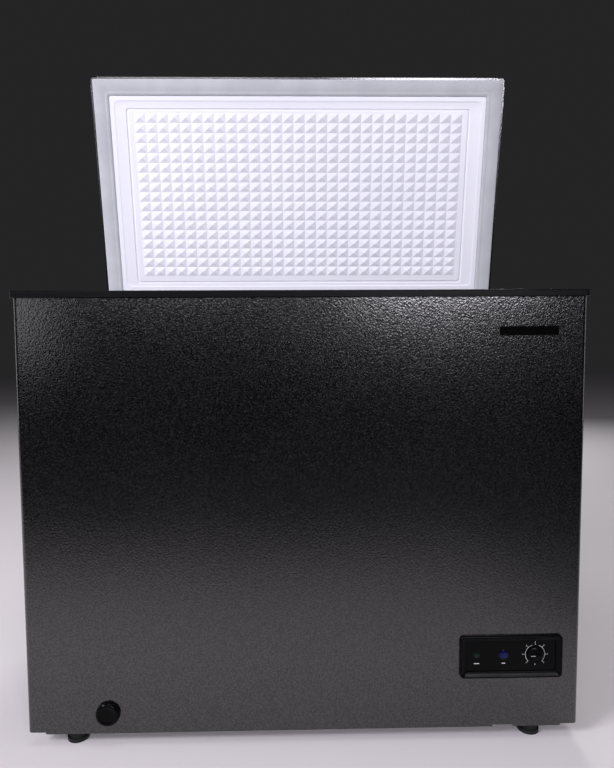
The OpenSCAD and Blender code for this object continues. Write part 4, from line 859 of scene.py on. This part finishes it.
def dial_marks():
    shape = bmesh.new()
    arc_of_ink(shape, *LEFT_ARC)
    arc_of_ink(shape, *RIGHT_ARC)
    for number in range(1, SETTINGS):
        tick = block(shape, (RING_RADIUS, -TICK_WIDTH / 2, 0),
                     (RING_RADIUS + TICK_LENGTH, TICK_WIDTH / 2, INK))
        turn = Matrix.Rotation(radians(setting_angle(number)), 3, "Z")
        bmesh.ops.rotate(shape, matrix=turn, verts=tick)
    place = facing_front(knob_middle.x, fascia_low.y, knob_middle.z)
    finish_piece("dial_marks", shape, ink, "cabinet", moved=place)


dial_marks()

# %% [markdown]
# ## Numbers
#
# The settings are numbered from 0, at the bottom, to 7. Each number is a text object with a little
# thickness. It is made a mesh before it is put in place, so that the finished object stays at the origin
# as every other piece does.

# %% Numbers
# in millimetres, the last two outwards from the ring
NUMBER_HEIGHT = 3.4
NUMBER_OUT, ZERO_OUT = 4.8, 1.2


def number_of_ink(text, x, z):
    """A plain number as a thin solid on the fascia."""
    name = "numeral_" + text
    curve = bpy.data.curves.new(name, "FONT")
    curve.body = text
    curve.size = NUMBER_HEIGHT * MM
    curve.extrude = INK / 2 * MM
    curve.align_x, curve.align_y = "CENTER", "CENTER"
    letter = bpy.data.objects.new(name, curve)
    bpy.context.scene.collection.objects.link(letter)
    bpy.context.view_layer.update()
    mesh = bpy.data.meshes.new_from_object(letter)
    bpy.data.objects.remove(letter)
    mesh.transform(facing_front(x, fascia_low.y - INK / 2 * MM, z))
    mesh.materials.clear()
    mesh.materials.append(ink)
    piece = bpy.data.objects.new(name, mesh)
    bpy.context.scene.collection.objects.link(piece)
    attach(piece, "cabinet")


for number in range(SETTINGS):
    angle = radians(setting_angle(number))
    reach = (RING_RADIUS + (NUMBER_OUT if number else ZERO_OUT)) * MM
    number_of_ink(str(number), knob_middle.x + reach * cos(angle), knob_middle.z + reach * sin(angle))
print("numbers on the dial:", SETTINGS)

# %% [markdown]
# ## The lamp marks
#
# Under each lamp a word would say what it shows. Here there is only a short dash, made as the ticks are.

# %% Lamp marks
# in millimetres, the drop from the knob's axis
DASH_DROP = 15
DASH_HALF_HEIGHT = 0.7


def lamp_dash(lamp, width):
    low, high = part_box(lamp)
    shape = bmesh.new()
    block(shape, (-width / 2, -DASH_HALF_HEIGHT, 0), (width / 2, DASH_HALF_HEIGHT, INK))
    place = facing_front((low.x + high.x) / 2, fascia_low.y, knob_middle.z - DASH_DROP * MM)
    finish_piece(lamp + "_dash", shape, ink, "cabinet", moved=place)


lamp_dash("power_lamp", 9)
lamp_dash("run_lamp", 6)

# %% [markdown]
# ## The drain cap
#
# The cap is a turned shape too: a plug in the drain's tube, a flange with a soft outer edge and a shallow
# dish in its face that a fingernail can catch. One profile from the plug's end to the middle of the dish
# makes it, in millimetres, out from the axis and forward from the sheet metal.

# %% Drain cap
cap_low, cap_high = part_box("drain_cap")
cap_middle = (cap_low + cap_high) / 2
cap_radius = (cap_high.x - cap_low.x) / 2 / MM
cap_face = (FRONT_Y - cap_low.y) / MM
plug_length = (cap_high.y - FRONT_Y) / MM


def drain_cap():
    shape = bmesh.new()
    plug = [(0, -plug_length), (5.2, -plug_length), (6.0, -plug_length + 1), (6.4, -2), (6.4, 0.4)]
    flange = [(cap_radius - 0.4, 0.4), (cap_radius, 0.9), (cap_radius, cap_face - 3.6),
              (cap_radius - 0.9, cap_face - 1.7), (cap_radius - 2.6, cap_face - 0.4)]
    dish = [(cap_radius - 4.4, cap_face), (cap_radius - 6.0, cap_face - 0.3),
            (cap_radius - 7.2, cap_face - 1.0), (cap_radius - 9.0, cap_face - 1.3), (0, cap_face - 1.5)]
    turned(shape, plug + flange + dish)
    return finish_piece("drain_plug", shape, finishes["gloss_black"], "drain_cap",
                        moved=facing_front(cap_middle.x, FRONT_Y, cap_middle.z), smooth_angle=radians(60))


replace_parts(drain_cap(), "drain_cap")

# %% [markdown]
# ## Floor
#
# The floor is plain and pale round the freezer, and darkens far in front of it and to its front right,
# like a studio floor that the lamps don't reach. Satin paint mostly shows what stands in front of it, so
# the foot of the front mirrors the pale floor and its middle the dark far part.
# The darkening far ahead and to the front right is painted shade in the floor's colour, in place of the lamps'
# light falling off.

# %% Floor
FLOOR_HALF = 12.0
# each fade of painted shade goes from the first to the second distance from the freezer's middle
FADE_AHEAD, FADE_RIGHT, RIGHT_FADE_STARTS = (0.5, 1.65), (0.28, 0.95), (0.28, 0.8)
PALE_SHADES = (0.69, 0.65, 0.67, 1), (0.72, 0.68, 0.70, 1)
# the colours of the painted shade, to the front right and far ahead
PAINTED_SHADE_RIGHT, PAINTED_SHADE_AHEAD = grey(0.2), grey(0.03)


def floor_finish():
    finish = Finish("floor_paint", {"Specular IOR Level": 0.1, "Roughness": 0.8})
    ahead = finish.along("Y") * -1.0
    # painted shade: the floor's colour darkens far ahead and to the front right, where lamp light would fall off
    far = finish.spread(ahead, *FADE_AHEAD, 0.0, 1.0, "SMOOTHSTEP")
    right = finish.spread(finish.along("X"), *FADE_RIGHT, 0.0, 1.0, "SMOOTHSTEP")
    painted_shade_right_mask = right * finish.spread(ahead, *RIGHT_FADE_STARTS, 0.0, 1.0)
    pale = finish.blend(finish.noise(0.8, 3.0), *PALE_SHADES)
    near = finish.blend(painted_shade_right_mask, pale, PAINTED_SHADE_RIGHT)
    finish.feed("Base Color", finish.blend(far, near, PAINTED_SHADE_AHEAD))
    return finish.material


def pale_floor():
    shape = bmesh.new()
    bmesh.ops.create_grid(shape, x_segments=1, y_segments=1, size=FLOOR_HALF)
    mesh = bpy.data.meshes.new("floor")
    shape.to_mesh(mesh)
    shape.free()
    mesh.materials.append(floor_finish())
    floor = bpy.data.objects.new("floor", mesh)
    bpy.context.scene.collection.objects.link(floor)
    return floor


floor = pale_floor()
print("floor:", tuple(round(v, 1) for v in floor.dimensions), "m")

# %% [markdown]
# ## Light
#
# A large lamp high on the left gives each pyramid a bright and a shaded side. Two broad lamps in front
# are mirrored as the glow along the top of the front, and a narrow one as its left edge. One overhead
# keeps the floor pale, two small ones light the sides and one behind lights the back. The lamps from the
# front are slightly cool, as daylight lamps are.

# %% Light
COOL, NEUTRAL = (0.94, 0.925, 1.0), (1.0, 1.0, 1.0)


def soft_lamp(name, place, target, size, power, colour=NEUTRAL):
    lamp_data = bpy.data.lights.new(name, "AREA")
    lamp_data.shape = "RECTANGLE"
    lamp_data.size, lamp_data.size_y = size
    lamp_data.energy = power
    lamp_data.color = colour
    lamp = bpy.data.objects.new(name, lamp_data)
    lamp.visible_camera = False
    bpy.context.scene.collection.objects.link(lamp)
    aim = (Vector(target) - Vector(place)).to_track_quat("-Z", "Y")
    lamp.matrix_world = Matrix.Translation(place) @ aim.to_matrix().to_4x4()


soft_lamp("high_left_lamp", (-2.9, -2.1, 2.35), (0.0, 0.2, 1.0), (1.2, 0.9), 122, COOL)
soft_lamp("front_lamp", (0.98, -3.3, 1.6), (0.1, 0.0, 0.8), (1.1, 0.8), 48, COOL)
soft_lamp("front_left_lamp", (-0.75, -3.3, 1.75), (-0.2, 0.0, 0.8), (1.4, 0.8), 20, COOL)
soft_lamp("left_strip_lamp", (-1.42, -2.2, 1.15), (-0.4, -0.3, 0.6), (0.25, 1.1), 1.6, COOL)
soft_lamp("overhead_lamp", (0.0, -0.4, 3.1), (0.0, -0.2, 0.0), (2.2, 2.0), 28)
soft_lamp("left_side_lamp", (-2.7, -0.1, 0.9), (0.0, -0.1, 0.5), (1.2, 1.4), 7)
soft_lamp("right_side_lamp", (2.7, -0.1, 0.9), (0.0, -0.1, 0.5), (1.2, 1.4), 5)
soft_lamp("rear_lamp", (0.9, 3.4, 2.2), (0.0, 0.2, 0.6), (1.6, 1.2), 60)
print("lamps:", len(bpy.data.lights))

# %% [markdown]
# ## The room
#
# Past the lamps and the floor the room is almost dark, so that dark paint keeps its depth and only the
# lamps and the floor show in it. The Standard view shows a colour about as it is written.

# %% Room
ROOM = grey(0.018, 1.05)
world = bpy.data.worlds.new("studio")
bpy.context.scene.world = world
world.use_nodes = True
world.node_tree.nodes["Background"].inputs["Color"].default_value = ROOM
world.node_tree.nodes["Background"].inputs["Strength"].default_value = 1.0
bpy.context.scene.view_settings.view_transform = "Standard"
print("room level:", ROOM[0])
